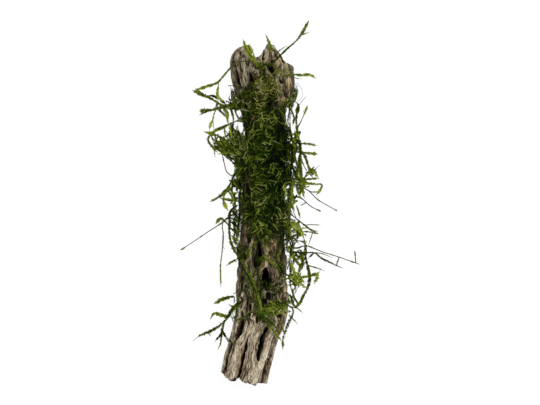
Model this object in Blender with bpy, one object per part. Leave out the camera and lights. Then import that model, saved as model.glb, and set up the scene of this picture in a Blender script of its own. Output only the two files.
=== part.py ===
"""Java moss growing over a hollow log of cholla wood, which lies on its side on the ground.

The log lies along Y, its lobed end towards +Y and its cut end towards -Y. The moss is a layer of
matted cushions round the middle of the log, and stray stems that leave them on all sides. The
origin is on the ground, z = 0, under the middle of the whole thing.
"""

from math import asin, cos, degrees, hypot, pi, radians, sin, sqrt

import bmesh
import bpy
from mathutils import Vector

# Driving dimensions, in millimetres unless a name or a note says otherwise
MM = 0.001
GAP = 0.4
LOG_AXIS_LOBED = 13.5
LOG_AXIS_CUT = 10.2
BORE_SHARE = 0.58
RIM_ROUNDING = 0.2
RIM_REACH = 9.0
EDGE_DIP = 0.9
EDGE_FLARE = 0.5
STRUT_SWELL = 0.35
CUSHION_RISE = 2.7
LEAFY_WIDTH = 1.5
LEAFY_HEIGHT = 1.0
BARE_WIDTH = 0.7
BARE_HEIGHT = 0.6
GROUND_CLEARANCE = 0.3

# The plan grid: places are written (across, down), one step is 0.45 mm, and this step is x = y = 0
STEP = 0.45
ORIGIN_ACROSS = 270.0
ORIGIN_DOWN = 202.1

# The log's two edges in plan, as (down, left, right)
LOG_EDGES = [
    (45, 236, 291), (60, 231, 294), (76, 231.3, 294.4), (86, 233.5, 294.5), (96, 235.4, 293.2),
    (104, 239, 289.6), (115, 243, 286), (127, 243, 286), (168, 242, 285.5), (209, 241.4, 285),
    (235, 239, 285.5), (275, 236.3, 286.9), (290, 236.4, 288), (305, 235, 287.3), (319, 233, 285.5),
    (330, 231, 281), (340, 228.7, 277), (347, 227.3, 275), (360, 223.7, 272.5), (373, 221, 269.6),
    (384, 218, 266.5),
]

# Where the log ends, as (angle round the log, down); the angle is 0 on top and 90 at the right
LOBED_END = [
    (-90, 50.5), (-78, 48.8), (-66, 47.6), (-56, 47.3), (-47, 49), (-39, 53), (-31, 57), (-20, 58.2),
    (-10, 57.5), (-4, 54.5), (1, 50.5), (8, 46.8), (18, 45), (28, 45.8), (36, 48.5), (42, 52),
    (48, 56), (55, 60.5), (65, 62.3), (76, 63.5), (90, 66), (120, 68), (150, 62), (180, 64),
    (210, 60), (240, 58),
]
CUT_END = [
    (-80, 379), (-61, 380.5), (-30, 382.5), (-20, 380), (-7, 381), (8, 381.5), (19, 381), (36, 381),
    (45, 378.5), (77, 376), (120, 378), (180, 379), (240, 378),
]

# The log's mesh: lines along it and stations down it, which are compressed towards both ends
LOG_LINES = 30
LOG_STATIONS = 35
FIRST_STATION = 48.0
LAST_STATION = 380.0
LOBED_FREE = 92.0
CUT_FREE = 352.0
SPREAD_ANGLE = 45.0
SHIFT_REACH = 14.0

# Openings between the struts that show, as (from down, to down, angle, half width in steps)
OPEN_END = 400
OPENINGS = [
    (321, 339, -45, 3.2), (336, OPEN_END, -15, 2.0), (323, 361, 26, 3.4), (352, OPEN_END, 60, 2.0),
    (345, 371, -72, 2.4), (266, 290, 11, 5.4), (242, 268, -9, 3.0), (243, 263, -46, 2.6),
    (268, 292, -62, 2.8), (290, 312, 62, 2.8), (296, 318, -36, 2.2), (70, 90, -60, 2.4),
    (66, 86, -24, 2.4), (62, 80, 19, 2.2), (296, 322, 2, 2.2),
]

# Rows of openings under the moss and on the far side: (angle, first down, last down, half width)
OPENING_PITCH = 43.0
OPENING_LENGTH = 30.0
OPENING_ROWS = [
    (-60, 96, 230, 3.9), (-24, 118, 228, 3.9), (12, 96, 235, 3.9), (48, 116, 250, 3.9),
    (85.5, 98, 335, 2.6), (112, 82, 372, 3.9), (146, 102, 330, 3.9), (214, 96, 372, 3.9),
    (248, 78, 340, 3.9), (274.5, 104, 330, 2.6),
]

# Moss cushions: columns as (name, from angle, to angle), rows as (name, from down, to down, rise)
CUSHION_COLUMNS = [("left", -112, -38), ("top", -36, 36), ("right", 38, 112)]
CUSHION_ROWS = [("upper", 90, 139, 0.9), ("middle", 140.1, 190, 1.1), ("lower", 191.1, 238, 0.85)]
CUSHION_CELLS = 6
CUSHION_ANGLE_SWAY = 4.0
CUSHION_DOWN_SWAY = 3.0
CUSHION_LUMP = 0.3

# How a stem lies: it falls away no steeper than this from what carries it, in a rounded bend
FALL_SLOPE = 1.5
FALL_BEND = 3.0
RING_SPACING = 4.2
FORK_HALF = 0.65
FORK_CLEAR = 1.9
FORK_LIFT_RINGS = 4
FINE_STEP = 0.4
ROUTE_PROBES = 400
ROOT_SHARE = 0.6
TIP_SHARE = 0.45
SHOOT_WIDTH_SHARE = 0.85
SHOOT_HEIGHT_SHARE = 0.9
SHOOT_BASE_SKIP = 4

LEAFY = (LEAFY_WIDTH, LEAFY_HEIGHT)
BARE = (BARE_WIDTH, BARE_HEIGHT)

# Stems, lowest first: name, section, height of the root (None where it lies on the log or on the
# cushions), height of the tip, route from the root to the tip, and side shoots
STEMS = [
    ("left_low_1", LEAFY, None, 0.8,
     [(242, 301), (236, 305.5), (231.3, 310.8), (226.7, 318.4), (219.1, 326.1), (209.1, 332.2),
      (199.2, 336.4), (192.7, 341.8)],
     [[(227.5, 317), (218.7, 314.4), (213.6, 313.9), (209.8, 320.2)],
      [(224, 321.3), (221.4, 334.5), (220.2, 344.4), (217.2, 350.6)]]),
    ("left_low_2", LEAFY, 11.0, 0.8,
     [(234, 296.2), (227.6, 297.8), (220.6, 300.4), (213, 304.5)], []),
    ("left_low_3", LEAFY, 14.0, 2.5,
     [(236.2, 259.8), (231.5, 262.1), (226.4, 265.6)], []),
    ("left_hanging", LEAFY, None, 1.5,
     [(238, 205), (232.5, 209), (229.8, 214), (229.6, 225), (229.3, 231.5), (230.6, 241),
      (233.1, 247.4), (236.5, 254.5)],
     [[(229.7, 217), (222.5, 223), (223.2, 235), (222, 250.6), (220.3, 265.9), (220.6, 287.6)],
      [(229.6, 226), (221, 218.7), (215.6, 224.1)]]),
    ("left_runner", BARE, None, 0.8,
     [(247, 204), (240.2, 208.5), (231.2, 215.5), (218.5, 225.1), (207.6, 232.1), (191.7, 242.9),
      (180.2, 250.3)], []),
    ("left_mid_1", LEAFY, 12.0, 0.8,
     [(231.8, 179.6), (230.3, 184), (226.7, 190.2), (219.7, 196.4), (210.2, 201.5)],
     [[(224.5, 193), (223.6, 201.5), (228, 210.5)]]),
    ("left_mid_2", LEAFY, None, 3.0,
     [(245, 198.5), (238.9, 201.2), (228.7, 199.9), (219.7, 198)], []),
    ("left_arc", BARE, 15.0, 3.0,
     [(231.8, 176.2), (226.7, 171.8), (224.7, 165.7), (222.1, 154)], []),
    ("left_mid_5", LEAFY, 6.0, 0.8,
     [(231.5, 161.3), (226, 156.5), (222.3, 152.5), (217.5, 148.5), (213.5, 143)], []),
    ("left_mid_3", LEAFY, 8.0, 2.0,
     [(231.8, 152.6), (222.7, 148.4), (210.4, 145.3)], []),
    ("left_mid_4", LEAFY, None, 5.0,
     [(243, 151), (236, 149.4), (230.8, 146.8), (224.7, 143.3), (219, 140.7)], []),
    ("left_loop", LEAFY, None, 0.8,
     [(240, 141), (231.8, 141.2), (225, 139.8), (217.6, 135.6), (210, 136), (208.4, 141),
      (213, 147.9), (217.6, 152.4)],
     [[(230, 141), (228.8, 135.6), (225.2, 130.5)]]),
    ("left_high_1", LEAFY, 10.0, 1.0,
     [(231.6, 122.8), (225.7, 125.9), (217, 130), (211.9, 133.4), (203.8, 131.8)],
     [[(224.5, 126.5), (225.7, 137.7)]]),
    ("left_high_2", LEAFY, None, 1.5,
     [(238, 105), (229, 106), (220.6, 107.6), (212, 110), (199.2, 110.8)],
     [[(216.8, 108.8), (214, 114.5), (213, 119.8), (210.2, 125.9), (209.9, 131)],
      [(223.5, 107), (225.8, 112.5), (226.8, 118.5), (228.8, 125), (230.5, 132), (232, 138)]]),
    ("left_high_3", LEAFY, 15.0, 6.0,
     [(226.6, 105.4), (221, 105), (215.5, 101.4), (206.8, 96.8), (192.3, 90.2)],
     [[(202, 94.8), (195.4, 88.4)]]),
    ("left_frond", LEAFY, None, 9.0,
     [(256, 62.5), (248, 61.8), (240, 62), (235.2, 63.7), (226, 73.6), (218, 82.6), (207.3, 86.6),
      (197.6, 89.7), (193.4, 91)],
     [[(219, 82), (217.8, 95.5), (223.2, 101.9)]]),
    ("left_twig", BARE, None, 17.0, [(243, 88.5), (236, 86.6), (228.7, 86.2)], []),
    ("right_low_1", LEAFY, None, 0.8,
     [(285, 304), (291, 307), (293.3, 311.5), (289.5, 321.5), (285.6, 330.7), (283, 340.6),
      (283, 350.2)], []),
    ("right_low_2", LEAFY, 12.0, 0.8,
     [(288.6, 314.6), (293.1, 318.8), (297.6, 324.2)], []),
    ("right_low_7", LEAFY, 5.0, 3.0,
     [(289.8, 247.5), (292.3, 254.5), (296.3, 261.5), (301, 265.3), (306, 262.5)], []),
    ("right_hanging", LEAFY, None, 1.0,
     [(286, 240), (297, 240.5), (305, 243.8), (305.5, 256.6), (308, 267.4), (309.7, 277.3),
      (308, 287.3), (303.8, 294.7), (299.7, 303), (294.7, 308)],
     [[(307.6, 265.5), (319.6, 269), (324.6, 271.5)], [(305.5, 257), (300, 268), (298.9, 274.8)]]),
    ("right_low_3", LEAFY, None, 2.5,
     [(281, 272), (288.9, 276.5), (290.6, 286.4), (293.9, 296.4), (293.9, 303)], []),
    ("right_low_4", LEAFY, 13.0, 3.0,
     [(289.6, 272.8), (298, 279.8), (303, 285.6), (307, 287.5)], []),
    ("right_low_5", LEAFY, None, 2.5,
     [(284, 279), (293.9, 277.3), (306.3, 276.5), (317.1, 274.6), (314.2, 284)], []),
    ("right_runner", BARE, None, 0.8,
     [(282, 247), (295.9, 247.6), (306.6, 245.8), (322.7, 251.9), (339.5, 257.3), (348.7, 260.7),
      (359.8, 264.5)],
     [[(356.2, 263.2), (355.2, 251.5)], [(339.5, 257.3), (336.5, 266.1)]]),
    ("right_low_6", LEAFY, 9.0, 1.0,
     [(289.6, 251.8), (302.8, 252.7), (315, 253), (321.1, 258), (336.5, 265.5),
      (342.6, 268.4)], []),
    ("right_arc", LEAFY, None, 2.0,
     [(280, 242), (287.5, 238.9), (299.7, 232.8), (307.4, 231.6), (318.5, 233.6)],
     [[(312.7, 232.4), (308.1, 245.8)]]),
    ("right_mid_1", LEAFY, None, 3.0,
     [(283, 220.5), (291.3, 222.4), (295.9, 223.2), (299.7, 227.4), (304.3, 240)], []),
    ("right_mid_2", LEAFY, None, 4.0,
     [(278, 207), (286, 210.6), (299.7, 221.3), (311.2, 230), (318.1, 231)],
     [[(304.5, 225.2), (311.2, 224.6), (320.4, 225)]]),
    ("right_mid_3", LEAFY, 12.0, 4.5,
     [(296.2, 205.5), (298.6, 212.1), (300.1, 219)], []),
    ("right_mid_4", BARE, 9.0, 1.5,
     [(296.4, 197), (302, 198.6), (311.2, 206.4), (321.1, 211.4)],
     [[(306, 202.6), (300.9, 205.6)]]),
    ("right_mid_5", BARE, 14.0, 0.8,
     [(296.6, 187.6), (306.6, 189.2), (316.6, 198.4), (323.4, 203), (337.2, 210.6)],
     [[(307.5, 190), (312, 191.9), (318.4, 191.7)]]),
    ("right_mid_6", LEAFY, None, 3.0,
     [(287, 182), (296, 182.5), (304.1, 183), (315.3, 184.1), (322, 184.6), (320.4, 189.7),
      (316.3, 194.8)], []),
    ("right_mid_7", LEAFY, None, 6.0,
     [(285, 177.5), (295.9, 179), (303.6, 179.3), (318.4, 178.5)], []),
    ("right_high_1", LEAFY, 15.0, 3.0,
     [(296.6, 152), (303.1, 153.5), (307.7, 164.7), (310.7, 176.2)],
     [[(308.2, 167), (313.3, 171.5), (318.9, 179)]]),
    ("right_high_2", LEAFY, None, 1.0,
     [(286, 138.5), (293, 140), (299, 143.5), (300.5, 153), (299.5, 160.6), (301, 175.9),
      (305.1, 188.7)],
     [[(299.3, 144), (306.1, 143.8), (317.3, 145.6)], [(300.5, 152.5), (306.1, 153), (317.9, 154.2)]]),
    ("right_high_3", LEAFY, None, 3.0,
     [(286, 103), (293, 101.5), (298, 105), (296.9, 113.7), (296.2, 119.8), (297.4, 133.6),
      (298.6, 140)],
     [[(297.2, 128), (301.5, 120.3), (307.7, 105.5)]]),
    ("right_high_4", LEAFY, None, 7.0,
     [(284, 104.5), (289.5, 108.6), (292.3, 112.7), (293.9, 118.8), (292.6, 126)], []),
    ("right_frond", LEAFY, None, 8.0,
     [(283, 76.5), (292.6, 75.1), (301.8, 75.5), (309.5, 74.8), (316.4, 78.6)], []),
    ("top_runner", LEAFY, None, 10.0,
     [(268, 68), (275, 61.4), (286.5, 49.9), (296.5, 40.7), (303.2, 31), (309, 20)],
     [[(300.8, 35.2), (309, 32.3)]]),
    ("top_centre", LEAFY, None, 24.0, [(272.5, 53), (270, 45.3), (265.5, 34.6)], []),
    ("top_left", LEAFY, None, 20.0,
     [(258, 67.5), (254.4, 62), (249.8, 55.2), (246, 48.4), (242.9, 39.6)],
     [[(255.5, 63.7), (252.8, 53), (249, 44.5)]]),
    ("log_streak", LEAFY, None, 20.5,
     [(258, 246), (258, 275), (257, 300), (259, 320), (262, 334)], []),
    ("log_arc", LEAFY, None, 20.0,
     [(289.5, 298), (286.4, 303.8), (277.3, 308.8), (266, 311.5)], []),
    ("log_low_1", LEAFY, None, 12.0,
     [(262.5, 314), (267, 323), (274.2, 331.4), (281.6, 341)], []),
    ("log_low_2", LEAFY, None, 15.0,
     [(275, 312.5), (278.8, 319.9), (282, 327), (284.5, 334)], []),
    ("log_low_3", LEAFY, None, 14.0,
     [(253.5, 311.5), (243.6, 316.5), (235.1, 321.5)], []),
]

WOOD = ("cholla_wood", (0.36, 0.30, 0.21, 1.0), 0.85)
MATTED_MOSS = ("matted_moss", (0.03, 0.05, 0.008, 1.0), 0.7)
FRESH_MOSS = ("fresh_moss", (0.16, 0.22, 0.03, 1.0), 0.55)
OLD_MOSS = ("old_moss_stem", (0.06, 0.05, 0.02, 1.0), 0.7)


def clear_scene():
    for thing in list(bpy.data.objects):
        bpy.data.objects.remove(thing, do_unlink=True)


def material(spec):
    name, colour, roughness = spec
    made = bpy.data.materials.get(name)
    if made is None:
        made = bpy.data.materials.new(name)
        made.use_nodes = True
        shader = made.node_tree.nodes["Principled BSDF"]
        shader.inputs["Base Color"].default_value = colour
        shader.inputs["Roughness"].default_value = roughness
        shader.inputs["Metallic"].default_value = 0.0
        made.diffuse_color = colour
    return made


def add_object(name, bm, spec):
    """Turn a bmesh in millimetres into an object in metres, smooth but for its sharp edges."""
    bmesh.ops.recalc_face_normals(bm, faces=bm.faces)
    bmesh.ops.scale(bm, vec=(MM, MM, MM), verts=bm.verts)
    mesh = bpy.data.meshes.new(name)
    bm.to_mesh(mesh)
    bm.free()
    mesh.materials.append(material(spec))
    mesh.shade_smooth()
    mesh.set_sharp_from_angle(angle=radians(50))
    made = bpy.data.objects.new(name, mesh)
    bpy.context.scene.collection.objects.link(made)
    return made


def plan(across, down):
    return Vector(((across - ORIGIN_ACROSS) * STEP, (ORIGIN_DOWN - down) * STEP))


def between(rows, key, column):
    """Read a column of a table at a key between its rows, on a smooth curve through them."""
    last = len(rows) - 1
    at = max(0, min(last - 1, sum(1 for row in rows if row[0] <= key) - 1))
    before, low, high, after = rows[max(at - 1, 0)], rows[at], rows[at + 1], rows[min(at + 2, last)]
    span = high[0] - low[0]
    share = max(0.0, min(1.0, (key - low[0]) / span))
    slope_low = (high[column] - before[column]) / (high[0] - before[0]) * span
    slope_high = (after[column] - low[column]) / (after[0] - low[0]) * span
    cube, square = share ** 3, share ** 2
    return (low[column] * (2 * cube - 3 * square + 1) + slope_low * (cube - 2 * square + share)
            + high[column] * (3 * square - 2 * cube) + slope_high * (cube - square))


def round_the_log(rows, angle):
    """Read a table of (angle, value) at any angle, joined up behind the log."""
    start = rows[0][0]
    turned = start + (angle - start) % 360.0
    return between(rows + [(start + 360.0, rows[0][1])], turned, 1)


def log_section(down):
    """Centre, direction across, radius and axis height of the log where its axis crosses a down."""
    left, right = between(LOG_EDGES, down, 1), between(LOG_EDGES, down, 2)
    ahead = between(LOG_EDGES, down - 1, 1) + between(LOG_EDGES, down - 1, 2)
    behind = between(LOG_EDGES, down + 1, 1) + between(LOG_EDGES, down + 1, 2)
    along = Vector(((ahead - behind) / 2, 2.0)).normalized()
    across = Vector((along.y, -along.x))
    centre = plan((left + right) / 2, down)
    radius = (right - left) / 2 * STEP * along.y
    share = (down - FIRST_STATION) / (LAST_STATION - FIRST_STATION)
    height = LOG_AXIS_LOBED + share * (LOG_AXIS_CUT - LOG_AXIS_LOBED)
    return centre, along, across, radius, height


def real_down(station, angle):
    """Stations run straight down the middle of the log, and are fitted to its uneven ends."""
    if station < LOBED_FREE:
        end = round_the_log(LOBED_END, angle)
        return LOBED_FREE - (LOBED_FREE - station) * (LOBED_FREE - end) / (LOBED_FREE - FIRST_STATION)
    if station > CUT_FREE:
        end = round_the_log(CUT_END, angle)
        return CUT_FREE + (station - CUT_FREE) * (end - CUT_FREE) / (LAST_STATION - CUT_FREE)
    return station


def all_openings():
    """The openings that show, with the rows under the moss and on the far side."""
    found = list(OPENINGS)
    for row, (angle, first, last, half) in enumerate(OPENING_ROWS):
        top = first + (row % 2) * OPENING_PITCH / 2
        while top + OPENING_LENGTH < last:
            sway = 4.0 * sin(top * 0.11 + row)
            found.append((top, top + OPENING_LENGTH + sway, angle + sway, half))
            top += OPENING_PITCH
    return found


def snapped_openings(lines, stations):
    """Openings as slits on the mesh: (line, first station, last station, opening, open end)."""
    gap = (LAST_STATION - FIRST_STATION) / (stations - 1)
    slits = []
    for opening in all_openings():
        first, last, angle, half = opening
        line = round(angle / 360.0 * LOG_LINES) % LOG_LINES * (lines // LOG_LINES)
        start = max(1, round((first - FIRST_STATION) / gap))
        if last >= OPEN_END:
            slits.append((line, start, stations, opening, True))
            continue
        finish = min(stations - 2, max(start + 2, round((last - FIRST_STATION) / gap)))
        slits.append((line, start, finish, opening, False))
    return slits


def fade(share):
    share = min(1.0, max(0.0, share))
    return (1 - share) ** 2 * (1 + 2 * share)


def turn(angle):
    """An angle brought into the range from -180 to 180."""
    return (angle + 180.0) % 360.0 - 180.0


def log_points(line, station_index, side, lines, stations, slits):
    """Outer and inner point of the log's wall; side is -1 or 1 on the two lips of a slit."""
    station = FIRST_STATION + (LAST_STATION - FIRST_STATION) * station_index / (stations - 1)
    base = turn(line * 360.0 / lines)
    radius = log_section(real_down(station, base))[3]
    angle = base
    nearest = 99.0
    for slit_line, start, finish, (first, last, wanted, half), opened in slits:
        slit_base = turn(slit_line * 360.0 / lines)
        apart = turn(base - slit_base)
        if abs(apart) > SPREAD_ANGLE:
            continue
        reach = SHIFT_REACH * (stations - 1) / (LAST_STATION - FIRST_STATION)
        outside = max(start - station_index, station_index - finish, 0) / reach
        angle += turn(wanted - slit_base) * fade(outside) * fade(abs(apart) / SPREAD_ANGLE)
        if not start < station_index < finish:
            continue
        along = (station_index - start) / (finish - start)
        lens = min(1.0, 2.4 * along) ** 0.6 if opened else (4 * along * (1 - along)) ** 0.6
        widening = degrees(half * STEP * lens / radius)
        way = side if slit_line == line else (1 if apart > 0 else -1)
        angle += way * widening * fade(abs(apart) / SPREAD_ANGLE)
        nearest = min(nearest, abs(apart))
    centre, along, across, radius, height = log_section(real_down(station, base))
    end = max(0.0, 1.0 - (station - FIRST_STATION) / RIM_REACH)
    outer = radius * (1 - RIM_ROUNDING * end ** 2) + STRUT_SWELL * sin(radians(9 * angle) + station / 17)
    inner = radius * BORE_SHARE
    if nearest < 1.0:
        outer -= EDGE_DIP
        inner += EDGE_FLARE
    points = []
    for reach in (outer, inner):
        flat = centre + across * (reach * sin(radians(angle)))
        points.append(Vector((flat.x, flat.y, max(0.0, height + reach * cos(radians(angle))))))
    return points


def build_log():
    """A tube of struts: both walls are grids with the same slits, joined along every border."""
    bm = bmesh.new()
    slits = snapped_openings(LOG_LINES, LOG_STATIONS)
    split = {(line, at) for line, start, finish, opening, opened in slits
             for at in range(start + 1, finish)}
    walls = [{}, {}]
    for line in range(LOG_LINES):
        for at in range(LOG_STATIONS):
            for side in ((-1, 1) if (line, at) in split else (0,)):
                points = log_points(line, at, side, LOG_LINES, LOG_STATIONS, slits)
                for wall, point in zip(walls, points):
                    wall[line, at, side] = bm.verts.new(point)

    def corner(wall, line, at, side):
        line %= LOG_LINES
        return wall[line, at, side if (line, at) in split else 0]

    borders = [[], []]
    for wall, border in zip(walls, borders):
        faces = []
        for line in range(LOG_LINES):
            for at in range(LOG_STATIONS - 1):
                faces.append(bm.faces.new((corner(wall, line, at, 1), corner(wall, line, at + 1, 1),
                                           corner(wall, line + 1, at + 1, -1),
                                           corner(wall, line + 1, at, -1))))
        edges = {edge for face in faces for edge in face.edges if len(edge.link_faces) == 1}
        border.extend(edges)
    partner = {walls[0][key]: walls[1][key] for key in walls[0]}
    for edge in borders[0]:
        first, second = edge.verts
        bm.faces.new((first, second, partner[second], partner[first]))
    bmesh.ops.triangulate(bm, faces=bm.faces)
    return add_object("cholla_log", bm, WOOD)


def cushion_sway(angle, down):
    """Ragged edges: one smooth sway for all cushions, so that neighbours never meet."""
    return (angle + CUSHION_ANGLE_SWAY * sin(down * 0.21),
            down + CUSHION_DOWN_SWAY * sin(radians(5.3 * angle) + 1.0))


def build_cushion(name, column, row):
    """A lumpy cushion on the log's outside, thinner towards its edges."""
    from_angle, to_angle = column
    from_down, to_down, rise = row
    bm = bmesh.new()
    shells = []
    for outside in (False, True):
        shell = []
        for step in range(CUSHION_CELLS + 1):
            strip = []
            for turn_step in range(CUSHION_CELLS + 1):
                u, v = turn_step / CUSHION_CELLS, step / CUSHION_CELLS
                angle, down = cushion_sway(from_angle + u * (to_angle - from_angle),
                                           from_down + v * (to_down - from_down))
                centre, along, across, radius, height = log_section(down)
                lump = 1 + CUSHION_LUMP * sin(angle * 0.13 + down * 0.3) * cos(down * 0.17 - angle * 0.05)
                swell = 0.4 + 0.6 * (max(0.0, sin(pi * u)) * max(0.0, sin(pi * v))) ** 0.4
                reach = radius + STRUT_SWELL + GAP + outside * CUSHION_RISE * rise * swell * lump
                flat = centre + across * (reach * sin(radians(angle)))
                strip.append(bm.verts.new((flat.x, flat.y, height + reach * cos(radians(angle)))))
            shell.append(strip)
        shells.append(shell)
    for shell in shells:
        for upper, lower in zip(shell, shell[1:]):
            for at in range(CUSHION_CELLS):
                bm.faces.new((upper[at], upper[at + 1], lower[at + 1], lower[at]))
    last = CUSHION_CELLS
    rim = [(0, at) for at in range(last)] + [(at, last) for at in range(last)]
    rim += [(last, last - at) for at in range(last)] + [(last - at, 0) for at in range(last)]
    for first, second in zip(rim, rim[1:] + rim[:1]):
        bm.faces.new((shells[0][first[0]][first[1]], shells[0][second[0]][second[1]],
                      shells[1][second[0]][second[1]], shells[1][first[0]][first[1]]))
    bmesh.ops.triangulate(bm, faces=bm.faces)
    return add_object(name, bm, MATTED_MOSS)


def cover_height(place):
    """Height of the log, or of the moss cushions on it, under a place in plan; None beside it."""
    down = ORIGIN_DOWN - place.y / STEP
    for repeat in range(2):
        centre, along, across, radius, height = log_section(down)
        down -= (place - centre).dot(along) / STEP
    down = min(max(down, FIRST_STATION), LAST_STATION)
    centre, along, across, radius, height = log_section(down)
    offset = (place - centre).dot(across)
    first, last = CUSHION_ROWS[0][1], CUSHION_ROWS[-1][2]
    beyond = max(first - down, down - last, 0.0)
    matted = fade(max(0.0, beyond - CUSHION_DOWN_SWAY) / 8.0)
    reach = radius + STRUT_SWELL + GAP + matted * CUSHION_RISE * 1.1 * (1 + CUSHION_LUMP)
    ends = round_the_log(LOBED_END, degrees(asin(max(-1.0, min(1.0, offset / reach)))))
    past_end = ORIGIN_DOWN - place.y / STEP < ends - 2
    if abs(offset) >= reach or past_end:
        return None
    return height + sqrt(reach ** 2 - offset ** 2)


def smooth_route(points, stations):
    """Places at the given lengths along a smooth curve through hand-placed points."""
    dense = []
    for at in range(len(points) - 1):
        before, low, high = points[max(at - 1, 0)], points[at], points[at + 1]
        after = points[min(at + 2, len(points) - 1)]
        for step in range(12):
            t = step / 12
            dense.append(0.5 * (2 * low + (high - before) * t
                                + (2 * before - 5 * low + 4 * high - after) * t ** 2
                                + (3 * low - before - 3 * high + after) * t ** 3))
    dense.append(points[-1])
    lengths = [0.0]
    for first, second in zip(dense, dense[1:]):
        lengths.append(lengths[-1] + (second - first).length)
    total = lengths[-1]
    places = []
    for wanted in stations(total):
        at = max(0, min(len(dense) - 2, sum(1 for length in lengths if length <= wanted) - 1))
        share = (wanted - lengths[at]) / max(1e-9, lengths[at + 1] - lengths[at])
        places.append(dense[at].lerp(dense[at + 1], min(1.0, share)))
    return places


def even_stations(total):
    count = max(2, round(total / RING_SPACING))
    return [total * at / count for at in range(count + 1)]


def fork_stations(route, forks):
    """Even stations along a route, with a close pair of them at every fork."""
    def stations(total):
        probes = [total * at / ROUTE_PROBES for at in range(ROUTE_PROBES + 1)]
        places = smooth_route(route, lambda total: probes)
        middles = []
        for fork in forks:
            nearest = min(range(len(probes)), key=lambda at: (places[at] - fork).length)
            middles.append(min(max(probes[nearest], 3 * FORK_HALF), total - 3 * FORK_HALF))
        marks = [mark for mark in even_stations(total) if mark in (0.0, total)
                 or all(abs(mark - middle) > FORK_CLEAR for middle in middles)]
        for middle in middles:
            marks += [middle - FORK_HALF, middle + FORK_HALF]
        return sorted(marks)
    return stations


def fine_places(places):
    """Places close together along straight stretches, as (ring before, share, place)."""
    fine = []
    for at, (first, second) in enumerate(zip(places, places[1:])):
        count = max(1, int((second - first).length / FINE_STEP))
        fine += [(at, step / count, first.lerp(second, step / count)) for step in range(count)]
    fine.append((len(places) - 2, 1.0, places[-1]))
    return fine


def lay(places, section, tip, laid, root_height):
    """Heights of a shoot's rings: over the log, over what was laid before it, or on the ground."""
    width, tall = section
    lowest = GROUND_CLEARANCE + tall / 2
    needs = [lowest] * len(places)
    needs[-1] = max(lowest, tip)
    for at, share, place in fine_places(places):
        need = lowest
        under = cover_height(place)
        if under is not None:
            need = under + tall / 2 + GAP
        for other, height, other_width, other_tall in laid:
            if abs(other.x - place.x) + abs(other.y - place.y) > 4.0:
                continue
            if (other - place).length < (width + other_width) / 2 + GAP:
                need = max(need, height + (tall + other_tall) / 2 + GAP)
        needs[at] = max(needs[at], need)
        needs[at + 1] = max(needs[at + 1], need)
    if root_height is not None:
        needs[0] = max(needs[0], root_height)
    lengths = [0.0]
    for first, second in zip(places, places[1:]):
        lengths.append(lengths[-1] + (second - first).length)
    heights = []
    for here in lengths:
        fall = [need - FALL_SLOPE * (hypot(here - there, FALL_BEND) - FALL_BEND)
                for need, there in zip(needs, lengths)]
        heights.append(max(fall))
    return heights


def ring_frame(places, at):
    """Direction across a route at one of its rings."""
    ahead = places[min(at + 1, len(places) - 1)] - places[max(at - 1, 0)]
    return Vector((ahead.y, -ahead.x)).normalized()


def ring_corners(place, height, across, width, tall):
    """Corners of a four-sided section: left low, right low, right high, left high."""
    corners = []
    for side, level in ((-1, -1), (1, -1), (1, 1), (-1, 1)):
        spot = place + across * (side * width / 2)
        corners.append((spot.x, spot.y, height + level * tall / 2))
    return corners


def grow(bm, ring, places, heights, section):
    """Carry a section along its rings to a tapered tip; the rings made are given back."""
    width, tall = section
    rings = [ring]
    last = len(places) - 1
    for at in range(1, len(places)):
        share = TIP_SHARE if at == last else 1.0
        corners = ring_corners(places[at], heights[at], ring_frame(places, at),
                               width * share, tall * share)
        fresh = [bm.verts.new(corner) for corner in corners]
        for side in range(4):
            follow = (side + 1) % 4
            bm.faces.new((ring[side], ring[follow], fresh[follow], fresh[side]))
        ring = fresh
        rings.append(ring)
    bm.faces.new(ring)
    return rings


def find_forks(places, side_points):
    """The short stretch between two rings that each side shoot grows from."""
    forks = []
    for side in side_points:
        middles = [(first + second) / 2 for first, second in zip(places, places[1:])]
        short = [at for at in range(len(middles))
                 if (places[at + 1] - places[at]).length < 2 * FORK_HALF + 0.05]
        forks.append(min(short, key=lambda at: (middles[at] - side[0]).length))
    return forks


def lift_forks(heights, forks, side_places, section, tip, laid):
    """Raise a stem where a side shoot has to leave it higher than it lies."""
    for fork, side in list(zip(forks, side_places)) * 2:
        wanted = lay(side, section, tip, laid, None)[0]
        lift = wanted - (heights[fork] + heights[fork + 1]) / 2
        if lift > 0:
            spread = [fade(abs(at - fork - 0.5) / FORK_LIFT_RINGS) for at in range(len(heights))]
            heights = [height + lift * share / spread[fork] for height, share in zip(heights, spread)]
    return heights


def note_laid(laid, places, heights, section, skip):
    """Remember where a shoot lies, for those that are laid over it."""
    for at, share, place in fine_places(places)[skip:]:
        height = heights[at] + share * (heights[at + 1] - heights[at])
        laid.append((place, height, section[0], section[1]))


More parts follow.
